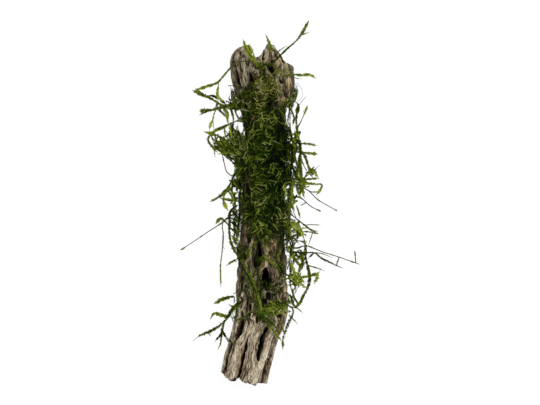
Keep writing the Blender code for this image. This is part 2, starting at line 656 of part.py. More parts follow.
def build_stem(name, section, root, tip, route, shoots, laid):
    """A stem with its side shoots, grown out of its sides, laid over what lies there already."""
    width, tall = section
    points = [plan(*point) for point in route]
    side_points = [[plan(*point) for point in shoot] for shoot in shoots]
    places = smooth_route(points, fork_stations(points, [side[0] for side in side_points]))
    side_places = [smooth_route(side, even_stations) for side in side_points]
    forks = find_forks(places, side_points)
    heights = lay(places, section, tip, laid, root)
    heights = lift_forks(heights, forks, side_places, section, tip, laid)
    bm = bmesh.new()
    start = ring_corners(places[0], heights[0], ring_frame(places, 0),
                         width * ROOT_SHARE, tall * ROOT_SHARE)
    ring = [bm.verts.new(corner) for corner in start]
    bm.faces.new(ring)
    rings = grow(bm, ring, places, heights, section)
    below = list(laid)
    note_laid(laid, places, heights, section, 0)
    narrow = (width * SHOOT_WIDTH_SHARE, tall * SHOOT_HEIGHT_SHARE)
    for fork, side in zip(forks, side_places):
        base_height = (heights[fork] + heights[fork + 1]) / 2
        side_heights = lay(side, section, tip, below, base_height)
        near, far = rings[fork], rings[fork + 1]
        if (side[1] - side[0]).dot(ring_frame(places, fork)) < 0:
            mouth = [near[0], far[0], far[3], near[3]]
        else:
            mouth = [far[1], near[1], near[2], far[2]]
        bm.faces.remove(bm.faces.get(mouth))
        grow(bm, mouth, side, side_heights, narrow)
        note_laid(laid, side, side_heights, narrow, SHOOT_BASE_SKIP)
    bmesh.ops.triangulate(bm, faces=bm.faces)
    return add_object(name, bm, OLD_MOSS if section == BARE else FRESH_MOSS)


def main():
    clear_scene()
    build_log()
    for row_name, from_down, to_down, rise in CUSHION_ROWS:
        for column_name, from_angle, to_angle in CUSHION_COLUMNS:
            name = "moss_cushion_" + row_name + "_" + column_name
            build_cushion(name, (from_angle, to_angle), (from_down, to_down, rise))
    laid = []
    for name, section, root, tip, route, shoots in STEMS:
        build_stem("moss_stem_" + name, section, root, tip, route, shoots, laid)


main()
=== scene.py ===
"""The looks of the moss on its log of cholla wood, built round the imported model.

Places round the log are written as (angle, down): the angle is 0 on top and 90 at the right, and
down is measured on the plan grid. Everything is worked out in millimetres and made in metres.
"""

from math import pi, radians

import bpy
import numpy as np
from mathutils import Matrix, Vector
from mathutils.bvhtree import BVHTree


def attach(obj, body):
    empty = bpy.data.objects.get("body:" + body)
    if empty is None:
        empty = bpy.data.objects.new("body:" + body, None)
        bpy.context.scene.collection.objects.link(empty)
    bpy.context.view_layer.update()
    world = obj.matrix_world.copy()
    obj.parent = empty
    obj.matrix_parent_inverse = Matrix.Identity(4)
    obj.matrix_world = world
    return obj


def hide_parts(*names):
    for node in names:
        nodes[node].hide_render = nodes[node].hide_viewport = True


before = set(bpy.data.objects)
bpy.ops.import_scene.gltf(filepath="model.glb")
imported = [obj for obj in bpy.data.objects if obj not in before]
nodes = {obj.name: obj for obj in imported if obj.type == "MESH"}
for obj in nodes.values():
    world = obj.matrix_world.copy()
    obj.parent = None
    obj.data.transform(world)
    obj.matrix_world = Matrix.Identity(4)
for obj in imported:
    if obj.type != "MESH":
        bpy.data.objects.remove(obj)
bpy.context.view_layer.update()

MM = 0.001
SOFTEN = np.array([1, 2, 3, 2, 1]) / 9.0

# The plan grid of the model: one step is 0.45 mm, and this place is x = y = 0
STEP = 0.45
ORIGIN_ACROSS = 270.0
ORIGIN_DOWN = 202.1

# The log's form, as the model has it: its edges are (down, across at the left and at the right),
# and its ends are (angle, down)
LOG_AXIS_LOBED = 13.5
LOG_AXIS_CUT = 10.2
BORE_SHARE = 0.58
RIM_ROUNDING = 0.2
RIM_REACH = 9.0
STRUT_SWELL = 0.35
STRUTS = 9
STRUT_TWIST = 17
FIRST_STATION = 48.0
LAST_STATION = 380.0
LOBED_FREE = 92.0
CUT_FREE = 352.0
SPREAD_ANGLE = 45.0
SHIFT_REACH = 14.0
OPEN_END = 400
LOG_EDGES = [
    (45, 236, 291), (60, 231, 294), (76, 231.3, 294.4), (86, 233.5, 294.5), (96, 235.4, 293.2),
    (104, 239, 289.6), (115, 243, 286), (127, 243, 286), (168, 242, 285.5), (209, 241.4, 285),
    (235, 239, 285.5), (275, 236.3, 286.9), (290, 236.4, 288), (305, 235, 287.3), (319, 233, 285.5),
    (330, 231, 281), (340, 228.7, 277), (347, 227.3, 275), (360, 223.7, 272.5), (373, 221, 269.6),
    (384, 218, 266.5),
]
LOBED_END = [
    (-90, 50.5), (-78, 48.8), (-66, 47.6), (-56, 47.3), (-47, 49), (-39, 53), (-31, 57), (-20, 58.2),
    (-10, 57.5), (-4, 54.5), (1, 50.5), (8, 46.8), (18, 45), (28, 45.8), (36, 48.5), (42, 52),
    (48, 56), (55, 60.5), (65, 62.3), (76, 63.5), (90, 66), (120, 68), (150, 62), (180, 64),
    (210, 60), (240, 58),
]
CUT_END = [
    (-80, 379), (-61, 380.5), (-30, 382.5), (-20, 380), (-7, 381), (8, 381.5), (19, 381), (36, 381),
    (45, 378.5), (77, 376), (120, 378), (180, 379), (240, 378),
]

# Openings between the struts: (from down, to down, angle, half width in steps), and the rows of
# openings where the log is covered or faces down: (angle, from down, to down, half width)
OPENINGS = [
    (321, 339, -45, 3.2), (336, OPEN_END, -15, 2.0), (323, 361, 26, 3.4), (352, OPEN_END, 60, 2.0),
    (345, 371, -72, 2.4), (266, 290, 11, 5.4), (242, 268, -9, 3.0), (243, 263, -46, 2.6),
    (268, 292, -62, 2.8), (290, 312, 62, 2.8), (296, 318, -36, 2.2), (70, 90, -60, 2.4),
    (66, 86, -24, 2.4), (62, 80, 19, 2.2), (296, 322, 2, 2.2),
]
OPENING_PITCH = 43.0
OPENING_LENGTH = 30.0
OPENING_SWAY = 4.0
OPENING_ROWS = [
    (-60, 96, 230, 3.9), (-24, 118, 228, 3.9), (12, 96, 235, 3.9), (48, 116, 250, 3.9),
    (85.5, 98, 335, 2.6), (112, 82, 372, 3.9), (146, 102, 330, 3.9), (214, 96, 372, 3.9),
    (248, 78, 340, 3.9), (274.5, 104, 330, 2.6),
]

# The log's fine mesh and its surface
LINES = 240
STATIONS = 150
STATION_GAP = (LAST_STATION - FIRST_STATION) / (STATIONS - 1)
LIP_STEPS = 3
LIP_ROUGHNESS = 0.13
LIP_SEED = 7
# Painted shade at the openings' rims, down the lips and in the bore; the lips and the bore also get a
# lower relief, which darkens their tone
LIP_SHADE = 0.3
LIP_PAINTED_SHADES = (0.35, 0.85)
LIP_DARKER, BORE_DARKER = 0.25, 0.2
EDGE_DIP = 1.25
EDGE_DIP_REACH = 3.2
EDGE_FLARE = 0.5
LENS_POWER = 0.6
RAGGED = 0.9
RAGGED_END = 2.2
RAGGED_END_REACH = 8.0
GRAIN_RADIUS = 11.0
WALL_THICKNESS = 4.0
SHARP_ANGLE = 60

# Tables of smooth noise: (seed, columns, rows)
END_NOISE = (6, 90, 4)
SLIT_NOISE = (9, 64, 8)
DAMP_NOISE = (11, 64, 64)
CLUMP_NOISE = (12, 64, 64)
COURSE_NOISE = (13, 64, 64)
CREASE_NOISE = (5, 44, 30)

# The wood's grain: (its noise, its length along the log in millimetres, its height)
GRAIN = [((1, 30, 40), 9.0, 0.5), ((2, 66, 60), 11.0, 0.42), ((3, 120, 90), 3.0, 0.2),
         ((4, 80, 200), 1.4, 0.22)]
CREASE_LENGTH = 16.0
CREASE_DEPTH = 0.36

# Cracks in the top of the log, cut in and painted with shade: from (across, down) to (across, down),
# half width
CRACKS = [
    (233.5, 61, 236.5, 72, 0.8), (236.5, 72, 239.5, 86, 1.0), (240, 64, 242, 74, 0.7),
    (239.4, 51, 240.2, 56.5, 0.9), (249.3, 74.5, 250.8, 82.5, 1.3), (244.5, 58, 246.5, 68, 0.6),
    (268, 66.5, 273, 72.5, 1.8), (281, 57.5, 285.5, 63.5, 1.0), (274.5, 50, 276.5, 58, 0.7),
    (264, 53, 262.5, 60, 0.7), (250.7, 229, 247.6, 243.5, 2.2), (244, 248, 244, 256.5, 1.5),
    (258.3, 244, 257.3, 255.5, 1.4), (256, 257, 255, 268, 1.2), (268, 292.5, 269.5, 299.5, 2.6),
    (265, 299, 266, 303, 1.8), (284.5, 298.5, 284.8, 304, 1.9), (241.5, 311.5, 241.5, 316.5, 1.5),
    (257.5, 315, 257.2, 322, 1.6), (277, 316, 281.5, 316.3, 1.4), (240.5, 297, 242, 302, 1.2),
    (242.5, 320, 235.8, 338.5, 2.5), (283.5, 250, 281.5, 262, 1.5), (279.5, 292, 279.5, 297, 1.1),
    (247, 262, 249.5, 276, 0.8), (284, 90, 287, 98, 1.1), (279.5, 79, 283, 84, 1.2),
    (251, 305, 249, 318, 0.9), (228, 355, 223.5, 374, 1.3), (271, 354.5, 266, 369, 0.9),
]
CRACK_DEPTH = 2.0
CRACK_FACING = 0.1
# Painted shade on the wood under a dense mat
MAT_SHADE = 0.6

# Lately torn places that show tan wood: (across, down, half width, half length)
TORN_PLACES = [
    (289, 84, 5, 8), (285.5, 101, 5, 8), (283, 290, 5, 9), (268.5, 258.5, 6, 5.5),
    (242.5, 362, 3, 9), (279, 62, 4, 5), (246, 232, 3, 10), (262, 268, 3, 8), (272, 282, 2.5, 9),
    (271, 244, 6, 9), (281, 255, 3, 7), (254.5, 240, 2.5, 8), (248.5, 190, 3.5, 17),
    (242.5, 220, 3, 18), (252.5, 119, 3, 4), (283, 104, 4, 6),
]

# The moss cushions, as the model has them: (name, from angle, to angle), and
# (name, from down, to down, share of the rise)
CUSHION_RISE = 2.7
CUSHION_COLUMNS = [("left", -112, -38), ("top", -36, 36), ("right", 38, 112)]
CUSHION_ROWS = [("upper", 90, 139, 0.9), ("middle", 140.1, 190, 1.1), ("lower", 191.1, 238, 0.85)]

# A mat's strands from its heart outwards: (strands, their length in millimetres from and to,
# length of leaves and gap between them, place in the mat from and to, how fresh from and to);
# the deep layers are kept dark as painted shade
MAT_LAYERS = [
    (90, 4.0, 8.0, 0.34, 0.6, 0.0, 0.45, 0.0, 0.06), (210, 3.0, 6.0, 0.31, 0.48, 0.4, 0.8, 0.02, 0.4),
    (250, 2.2, 5.0, 0.3, 0.42, 0.75, 1.1, 0.16, 0.95),
]
STRAND_MARKS = 7
GOLDEN_SHARE = 0.618034
STRAND_RADIUS = 0.1
DRY_SHARE = 0.004
DRY_FRESH = 1.2

# Strands in patches: (their length from and to, length of leaves and gap between them)
PATCH_STRANDS = (2.2, 5.0, 0.36, 0.42)
LOOSE_STRANDS = (3.0, 7.0, 0.68, 0.32)

# Strands that bow out of a mat: their length, the angle of their roots, and how far out they
# bow, each from and to
ESCAPE_MARKS = 22
ESCAPE_LENGTHS = (7, 13)
ESCAPE_ANGLES = (58, 104)
ESCAPE_BOWS = (0.6, 3.2)

# What each cushion has besides its mat: how many strands bow out of it, patches of fine moss, and
# patches of loose leafy moss, each (across, down, half width, half length, strands, how fresh);
# the tiny patches at 1.2 are pale specks, partly dry strands and partly painted highlights
CUSHIONS = {
    "upper_left": (16, [
        (241, 96, 5, 6, 12, 0.0), (237.5, 85, 3, 5, 4, 0.1), (242, 118, 2.5, 24, 70, 0.04),
        (243, 141, 2, 11, 24, 0.04), (236, 106, 5, 4, 26, 0.06), (235.5, 134, 3.5, 7, 30, 0.1),
        (233, 142, 6, 5, 34, 0.1), (238, 136.5, 0.8, 0.8, 3, 1.2)], [
        (234, 106, 8, 3.5, 14, 0.06), (232, 132, 4, 7, 10, 0.08), (238, 138, 4, 7, 10, 0.06),
        (222, 141, 8, 5, 12, 0.16)]),
    "upper_top": (0, [
        (262, 85, 14, 10, 64, 0.06), (267, 86, 14, 12, 40, 0.36), (270, 73, 11, 9, 56, 0.08),
        (257, 70, 6, 6, 14, 0.06), (263, 66, 6, 5, 20, 0.1), (252, 92, 8, 6, 30, 0.0),
        (284, 73, 8, 3.5, 20, 0.28), (271, 93, 7, 7, 26, 0.0), (258.5, 88, 0.9, 0.9, 3, 1.2),
        (261.5, 92.5, 0.8, 1.2, 3, 1.2), (257, 97.5, 0.9, 0.9, 3, 1.2), (263, 95, 1.2, 0.8, 3, 1.2),
        (272, 84, 0.8, 1.0, 3, 1.2), (267, 77, 1.0, 0.8, 3, 1.2)], []),
    "upper_right": (12, [
        (288, 97, 4, 4, 6, 0.3), (286, 107, 4, 6, 11, 0.2), (284, 98, 6, 10, 9, 0.42),
        (286, 124, 2.5, 20, 50, 0.02)], [
        (293, 137, 5, 5, 16, 0.12), (288, 105, 3, 5, 5, 0.3)]),
    "middle_left": (14, [
        (242, 160, 2.5, 22, 60, 0.03), (234, 151, 6, 6, 40, 0.08), (237, 162, 3, 6, 16, 0.08)], [
        (236, 147, 6, 7, 18, 0.08), (238, 158, 4, 6, 10, 0.08), (227, 150, 8, 6, 16, 0.14),
        (238.5, 172, 2, 6, 6, 0.1), (235, 184, 4, 8, 12, 0.1), (236, 200, 3, 8, 8, 0.12)]),
    "middle_top": (0, [
        (264, 170, 1.0, 0.8, 3, 1.2), (258.5, 188.5, 0.8, 1.0, 3, 1.2),
        (259, 182, 0.7, 0.7, 2, 1.2)], []),
    "middle_right": (16, [
        (286, 164, 2.5, 24, 60, 0.02)], [
        (292, 151, 5.5, 11, 28, 0.1), (294, 168, 6, 11, 28, 0.12), (297, 180, 8, 5, 18, 0.14),
        (300, 188, 6, 5, 10, 0.2), (311, 170, 3.5, 4, 8, 0.06)]),
    "lower_left": (4, [
        (239.5, 250, 4, 12, 30, 0.1), (246, 255, 5, 8, 18, 0.08), (245, 274, 5, 12, 22, 0.06),
        (241.5, 204, 1.5, 30, 26, 0.1), (237, 301, 3, 12, 12, 0.08), (234.5, 316, 3, 7, 12, 0.25),
        (246, 318, 6, 3, 9, 0.15), (246, 292, 6, 9, 18, 0.1)], [
        (236, 216, 3, 9, 8, 0.12), (235, 232, 2, 9, 5, 0.12)]),
    "lower_top": (0, [
        (259, 192, 0.8, 0.8, 3, 1.2), (265, 197, 0.8, 0.8, 3, 1.2), (272, 218, 1.2, 1.4, 4, 1.2),
        (277, 222, 0.9, 1.0, 3, 1.2), (278, 229, 0.8, 1.0, 3, 1.2), (267, 236.5, 1.2, 1.0, 4, 1.2),
        (262, 216, 0.8, 0.8, 3, 1.2), (258, 262, 4.5, 24, 60, 0.08), (258, 300, 5, 18, 46, 0.14),
        (262, 241, 16, 5, 30, 0.16), (272, 257, 10, 7, 32, 0.16), (264, 313, 7, 5, 22, 0.25),
        (266, 283, 6, 4, 14, 0.06), (250, 284, 6, 12, 18, 0.1)], []),
    "lower_right": (14, [
        (283, 247, 4, 12, 34, 0.06), (283.5, 265, 4.5, 7, 18, 0.08), (275, 291, 8, 6, 38, 0.03),
        (280, 280, 6, 9, 14, 0.1), (276, 302, 12, 6.5, 46, 0.06), (276, 310, 13, 4, 64, 0.36),
        (277, 309, 11, 3.5, 16, 0.75), (269, 319, 7, 5, 20, 0.32), (287, 214, 2.5, 14, 30, 0.1),
        (288, 226, 3, 8, 14, 0.3), (290, 262, 2, 5, 6, 0.3)], [
        (291, 196, 6, 12, 30, 0.16), (290.5, 244, 3, 9, 10, 0.28), (292, 300, 4, 6, 7, 0.26),
        (297, 256, 6, 9, 14, 0.28), (296, 280, 5, 6, 10, 0.34), (296, 230, 7, 7, 16, 0.3),
        (290, 265, 2, 9, 5, 0.1), (283, 306, 8, 4, 14, 0.36), (268, 310, 6, 3, 10, 0.36)]),
}

# Places where the mat is thin and the wood shows: (across, down, half width, half length, share)
THIN_PLACES = [
    (284, 99, 10, 13, 0.92), (272, 106, 8, 6, 0.6), (253.5, 119, 3.5, 5, 0.85), (284, 119, 2.5, 8, 0.8),
    (248, 136, 2.5, 15, 0.7), (278, 127, 3, 9, 0.45), (247.5, 190, 4.5, 20, 0.9),
    (238, 214, 8, 28, 1.0), (242.5, 186, 2, 8, 0.8), (246, 233, 6, 13, 0.95), (267, 236.5, 3.5, 3, 0.8),
    (277.5, 225, 3.5, 6, 0.6), (282.5, 198, 3, 10, 0.75), (262, 92, 7, 6, 0.45), (239, 91, 5, 8, 0.8),
    (258.5, 190, 2, 4, 0.6), (272, 218, 3, 3, 0.5), (277, 236, 8, 4, 0.6), (256, 238, 5, 4, 0.5),
]

# Gaps between the log and the moss beside it: (across, down, half width, half length)
GAPS = [
    (239, 113.5, 2.1, 3.3), (240.6, 127.5, 2.5, 5.0), (231, 116, 0.7, 4.5), (229.5, 142.5, 1.2, 2.2),
    (287.3, 116, 1.2, 8), (293, 127, 2.0, 7), (288.5, 139, 1.4, 2.6), (296, 157, 1.2, 3),
    (289, 162, 1.0, 1.6), (294, 170, 1.8, 4), (288, 187, 1.2, 1.6), (286, 193, 1.2, 1.4),
    (286, 198, 1.2, 1.4), (295, 192, 1.3, 4),
]

# Where the moss is olive and where it is bluish: (across, down, half width, half length)
OLIVE_PLACE = (262, 275, 30, 48)
COOL_PLACE = (276, 170, 22, 66)

# Where things start and end along the log: (down, over how many steps)
OLIVE_END = (84, 50)
LIGHT_END = (96, 34)
MAT_START, MAT_END = (96, 24), (238, 12)
DAMP_START, DAMP_END = (44, 52), (330, 95)

# How far round the log the mat reaches, and the moss's lighter left edge as (across, over how
# many steps, down of its middle, half length)
MAT_ANGLE = 112
LIGHT_EDGE = (236, 18, 132, 50)

# The stems: (leaves' length or 0 on an old bare stem, how fresh, its route on the plan grid and
# those of its side shoots, its twigs), and a twig is (leaves' length, route)
STEMS = {
    "left_low_1": (1.35, 0.42, [
        [(242, 301), (236, 305.5), (231.3, 310.8), (226.7, 318.4), (219.1, 326.1), (209.1, 332.2),
         (199.2, 336.4), (192.7, 341.8)],
        [(227.5, 317), (218.7, 314.4), (213.6, 313.9), (209.8, 320.2)],
        [(224, 321.3), (221.4, 334.5), (220.2, 344.4), (217.2, 350.6)]], [
        (0.7, [(236, 305.5), (232, 306.1), (228.3, 303.9)]),
        (0.8, [(223, 330), (221.4, 333.7), (214.5, 342.1)]),
        (1.15, [(221, 328), (222.1, 330.7), (226.7, 338.3), (232.1, 342.9)]),
        (0.6, [(207.8, 332.6), (208.4, 334.2), (211, 336.8)])]),
    "left_low_2": (1.5, 0.56, [
        [(234, 296.2), (227.6, 297.8), (220.6, 300.4), (213, 304.5)]], []),
    "left_low_3": (1.4, 0.55, [
        [(236.2, 259.8), (231.5, 262.1), (226.4, 265.6)]], [
        (0.9, [(236.2, 259.8), (239, 257.5), (242, 252)])]),
    "left_hanging": (1.18, 0.41, [
        [(238, 205), (232.5, 209), (229.8, 214), (229.6, 225), (229.3, 231.5), (230.6, 241),
         (233.1, 247.4), (236.5, 254.5)],
        [(229.7, 217), (222.5, 223), (223.2, 235), (222, 250.6), (220.3, 265.9), (220.6, 287.6)],
        [(229.6, 226), (221, 218.7), (215.6, 224.1)]], [
        (1.0, [(230.4, 222), (232.5, 222.8), (239.5, 229)]),
        (1.0, [(229.8, 228), (232.5, 229.5), (239.5, 236)]),
        (1.0, [(230.6, 235.5), (233, 236.6), (239.5, 242)]),
        (0.9, [(233, 247), (237, 248.5), (241, 254), (242.5, 262)]),
        (0.8, [(236.5, 254), (243, 262), (249.5, 273), (255.5, 286), (259.5, 299), (262, 313)]),
        (0.6, [(236.5, 254), (240, 262), (246, 272), (252, 284), (254.5, 296)]),
        (0.9, [(229.9, 216.5), (235, 213.3), (240, 210.8)]),
        (0.9, [(229.8, 217.5), (235, 219.8), (241, 223.4)]),
        (0.6, [(231, 211.5), (233.4, 208.3), (232.9, 203.6)]),
        (0.7, [(229.8, 218.5), (226.5, 218.6), (223.5, 220.8)])]),
    "left_runner": (0, 0.5, [
        [(247, 204), (240.2, 208.5), (231.2, 215.5), (218.5, 225.1), (207.6, 232.1), (191.7, 242.9),
         (180.2, 250.3)]], []),
    "left_mid_1": (1.35, 0.52, [
        [(231.8, 179.6), (230.3, 184), (226.7, 190.2), (219.7, 196.4), (210.2, 201.5)],
        [(224.5, 193), (223.6, 201.5), (228, 210.5)]], [
        (1.1, [(231.8, 179.6), (234.5, 174.5), (237.8, 168.5)]),
        (0.9, [(231.8, 179.8), (232.6, 185), (231.9, 190), (233.3, 194.5)]),
        (0.7, [(232.5, 178.5), (237.3, 180.4), (240.5, 177.8)]),
        (0.5, [(231.9, 180), (235.6, 185), (238.6, 188.6)]),
        (0.7, [(229.5, 186.5), (232, 192), (236, 193), (241, 190.4)]),
        (0.8, [(226.7, 190.2), (230.5, 193.6), (232.4, 198), (232.8, 204.2)])]),
    "left_mid_2": (0.9, 0.48, [
        [(245, 198.5), (238.9, 201.2), (228.7, 199.9), (219.7, 198)]], []),
    "left_arc": (0, 0.5, [
        [(231.8, 176.2), (226.7, 171.8), (224.7, 165.7), (222.1, 154)]], [
        (0.6, [(231.8, 176.2), (234, 174), (237, 172)])]),
    "left_mid_5": (1.18, 0.48, [
        [(231.5, 161.3), (226, 156.5), (222.3, 152.5), (217.5, 148.5), (213.5, 143)]], [
        (1.0, [(231.5, 161.3), (235, 163.6), (240, 166)]),
        (0.9, [(217.5, 148.5), (224, 153), (230.5, 157.5), (237, 161)]),
        (0.8, [(231.5, 161.2), (229.8, 157.2), (226.8, 153.8), (222.5, 151.8)])]),
    "left_mid_3": (0.95, 0.5, [
        [(231.8, 152.6), (222.7, 148.4), (210.4, 145.3)]], [
        (0.35, [(216, 146.8), (214.5, 150.4), (215, 157.8)]),
        (0.6, [(222.7, 148.4), (217.4, 144.6), (211.9, 142.5)]),
        (0.9, [(231.8, 152.6), (235.5, 154.2), (240, 157.5)])]),
    "left_mid_4": (1.1, 0.48, [
        [(243, 151), (236, 149.4), (230.8, 146.8), (224.7, 143.3), (219, 140.7)]], [
        (0.9, [(238, 149.8), (231, 149.5), (225, 147), (219, 144.6)]),
        (0.9, [(236, 149.4), (232.5, 145.5), (228, 142.6), (225.5, 139.2)]),
        (0.95, [(219, 140.7), (225.5, 146), (232, 151.5), (238, 157)]),
        (0.85, [(224.7, 143.3), (230, 149), (235, 153.5), (240, 156)]),
        (0.8, [(236, 149.6), (231, 152), (226, 150.6)])]),
    "left_loop": (0.95, 0.5, [
        [(240, 141), (231.8, 141.2), (225, 139.8), (217.6, 135.6), (210, 136), (208.4, 141),
         (213, 147.9), (217.6, 152.4)],
        [(230, 141), (228.8, 135.6), (225.2, 130.5)]], [
        (0.4, [(225.2, 130.5), (228.6, 134.6), (231.8, 139.2)]),
        (0.8, [(215.5, 135.6), (216.2, 139.5), (219.5, 143.5), (225, 147)]),
        (0.9, [(212, 137.5), (217, 142.5), (224, 149), (231, 154.5)]),
        (0.8, [(217.6, 135.6), (222.5, 140.5), (228, 144.5), (234, 147.5)]),
        (0.8, [(211.5, 136), (213, 140), (215.8, 141.6)])]),
    "left_high_1": (1.15, 0.52, [
        [(231.6, 122.8), (225.7, 125.9), (217, 130), (211.9, 133.4), (203.8, 131.8)],
        [(224.5, 126.5), (225.7, 137.7)]], [
        (0.8, [(231.6, 122.8), (236, 121.5), (241.5, 120)]),
        (0.7, [(230.6, 123.3), (231.2, 130), (233, 137), (237, 144)]),
        (0.7, [(229.5, 124), (234.5, 130), (237, 137), (240, 142)]),
        (0.7, [(228.6, 124.4), (224, 128), (219, 130.8)]),
        (0.6, [(226, 126), (224.5, 131), (226.5, 137), (231, 140.5)]),
        (0.6, [(213, 133.2), (218, 136), (223.5, 141), (229, 144)])]),
    "left_high_2": (1.45, 0.53, [
        [(238, 105), (229, 106), (220.6, 107.6), (212, 110), (199.2, 110.8)],
        [(216.8, 108.8), (214, 114.5), (213, 119.8), (210.2, 125.9), (209.9, 131)],
        [(223.5, 107), (225.8, 112.5), (226.8, 118.5), (228.8, 125), (230.5, 132), (232, 138)]], [
        (0.6, [(225, 106.5), (229.8, 104), (233.4, 101.9), (235.9, 98.9)]),
        (0.3, [(230.6, 105.6), (230.6, 101.4), (232.6, 94.8)]),
        (1.05, [(211.5, 110), (206.5, 111.6), (198.9, 115.2)]),
        (0.9, [(222, 107.4), (226.5, 111), (228, 116), (227.6, 122)]),
        (0.8, [(230.5, 105.9), (231.9, 112), (233.4, 118), (233.2, 123.5)]),
        (0.9, [(233.5, 105.5), (235, 110), (236.2, 114), (238.5, 118), (243, 120)]),
        (1.0, [(212, 110), (217, 109), (222, 112.5), (227, 118), (229.5, 122)]),
        (0.7, [(226.5, 106.4), (223.8, 109.5), (225, 114)]),
        (0.4, [(213, 119.8), (213.6, 125), (213.5, 130.5)])]),
    "left_high_3": (1.4, 0.52, [
        [(226.6, 105.4), (221, 105), (215.5, 101.4), (206.8, 96.8), (192.3, 90.2)],
        [(202, 94.8), (195.4, 88.4)]], [
        (0.95, [(206.8, 96.8), (211.9, 95.8), (218.6, 98.5), (223, 102), (227, 104.8)]),
        (0.8, [(215.5, 101.4), (217.4, 104.5), (214.6, 108.6)])]),
    "left_frond": (1.1, 0.55, [
        [(256, 62.5), (248, 61.8), (240, 62), (235.2, 63.7), (226, 73.6), (218, 82.6), (207.3, 86.6),
         (197.6, 89.7), (193.4, 91)],
        [(219, 82), (217.8, 95.5), (223.2, 101.9)]], []),
    "left_twig": (0, 0.5, [
        [(243, 88.5), (236, 86.6), (228.7, 86.2)]], []),
    "right_low_1": (1.3, 0.52, [
        [(285, 304), (291, 307), (293.3, 311.5), (289.5, 321.5), (285.6, 330.7), (283, 340.6),
         (283, 350.2)]], [
        (0.6, [(291, 307), (297.2, 308), (303.4, 313.8)]),
        (0.9, [(286, 304.4), (289.5, 301.5), (292.5, 303.8)])]),
    "right_low_2": (1.13, 0.6, [
        [(288.6, 314.6), (293.1, 318.8), (297.6, 324.2)]], []),
    "right_low_7": (1.35, 0.68, [
        [(289.8, 247.5), (292.3, 254.5), (296.3, 261.5), (301, 265.3), (306, 262.5)]], [
        (0.9, [(290.5, 249.5), (294, 256), (296.5, 262), (300.5, 265.8)]),
        (0.9, [(303.5, 264.5), (302, 268.5), (299.3, 273.5)]),
        (0.9, [(296, 261), (298.6, 256.5), (299.5, 253.5)]),
        (0.8, [(292.3, 254.5), (290, 259), (288.6, 264)])]),
    "right_hanging": (1.1, 0.38, [
        [(286, 240), (297, 240.5), (305, 243.8), (305.5, 256.6), (308, 267.4), (309.7, 277.3),
         (308, 287.3), (303.8, 294.7), (299.7, 303), (294.7, 308)],
        [(307.6, 265.5), (319.6, 269), (324.6, 271.5)],
        [(305.5, 257), (300, 268), (298.9, 274.8)]], [
        (1.0, [(289, 240), (290.6, 245), (291.2, 250.5), (291, 254)]),
        (0.9, [(289, 240.2), (288, 235), (286.5, 229)]),
        (0.9, [(292, 240.3), (292.3, 245), (290.8, 250), (289.3, 257)]),
        (0.9, [(290, 240.2), (293.5, 237.8), (298.8, 243.8)]),
        (0.8, [(297, 240.8), (294, 244.5), (294.5, 250)]),
        (0.9, [(305.4, 254), (302, 257), (301.5, 262)]),
        (0.6, [(303, 243.2), (306, 242.5), (306.8, 240.3)])]),
    "right_low_3": (0.76, 0.42, [
        [(281, 272), (288.9, 276.5), (290.6, 286.4), (293.9, 296.4), (293.9, 303)]], [
        (0.75, [(281, 272), (275, 265), (268, 259.5), (262, 254)]),
        (0.6, [(285, 274.5), (281, 268), (277, 261.5), (276, 255)]),
        (0.6, [(283, 273), (279, 277), (274.5, 279.5)]),
        (0.5, [(291.6, 292), (294.7, 293.1), (298, 286.4)]),
        (0.7, [(293.9, 302), (290.6, 299.7)])]),
    "right_low_4": (1.2, 0.66, [
        [(289.6, 272.8), (298, 279.8), (303, 285.6), (307, 287.5)]], [
        (1.2, [(290.5, 273.5), (295, 275.2), (300, 278.6), (304.5, 283.5)]),
        (1.1, [(291, 274), (293.5, 279), (297.5, 283.5), (302.5, 286)]),
        (1.0, [(293, 275.6), (296.5, 272.8), (300.5, 273)]),
        (0.9, [(299, 281), (302, 280.4), (306, 282)]),
        (0.8, [(296.5, 279), (299.3, 276), (301.5, 271.5)])]),
    "right_low_5": (1.3, 0.68, [
        [(284, 279), (293.9, 277.3), (306.3, 276.5), (317.1, 274.6), (314.2, 284)]], [
        (0.8, [(292, 277.4), (294.5, 271), (292.5, 266), (289.8, 262.5)]),
        (0.7, [(317.1, 274.6), (320.4, 270.7)]),
        (0.5, [(292, 277.4), (293.1, 270), (288.9, 262.4)]),
        (0.9, [(308, 276.5), (313, 274.6), (318, 273.4)])]),
    "right_runner": (0, 0.5, [
        [(282, 247), (295.9, 247.6), (306.6, 245.8), (322.7, 251.9), (339.5, 257.3), (348.7, 260.7),
         (359.8, 264.5)],
        [(356.2, 263.2), (355.2, 251.5)],
        [(339.5, 257.3), (336.5, 266.1)]], []),
    "right_low_6": (0.75, 0.36, [
        [(289.6, 251.8), (302.8, 252.7), (315, 253), (321.1, 258), (336.5, 265.5), (342.6, 268.4)]], [
        (0.35, [(309, 252.4), (315, 252.7), (322.7, 253.8), (332.6, 258)]),
        (1.0, [(295, 252.2), (297, 255.8), (301, 257)]),
        (0.8, [(299, 252.5), (301.8, 256), (300.5, 260.5)]),
        (0.7, [(314, 253), (310.8, 255.8), (307.8, 258.8)])]),
    "right_arc": (1.05, 0.4, [
        [(280, 242), (287.5, 238.9), (299.7, 232.8), (307.4, 231.6), (318.5, 233.6)],
        [(312.7, 232.4), (308.1, 245.8)]], [
        (0.5, [(287.5, 238.9), (293.6, 238.1), (299.7, 245)]),
        (0.8, [(290, 238), (288.6, 234.5), (286.6, 231)])]),
    "right_mid_1": (0.95, 0.68, [
        [(283, 220.5), (291.3, 222.4), (295.9, 223.2), (299.7, 227.4), (304.3, 240)]], [
        (0.8, [(287.6, 221.6), (291.3, 225.1), (298.2, 232)]),
        (0.9, [(290, 222.3), (294.5, 227), (298.6, 230.6)]),
        (0.9, [(303.8, 238.5), (304.8, 243), (305.4, 247.5)])]),
    "right_mid_2": (0.65, 0.4, [
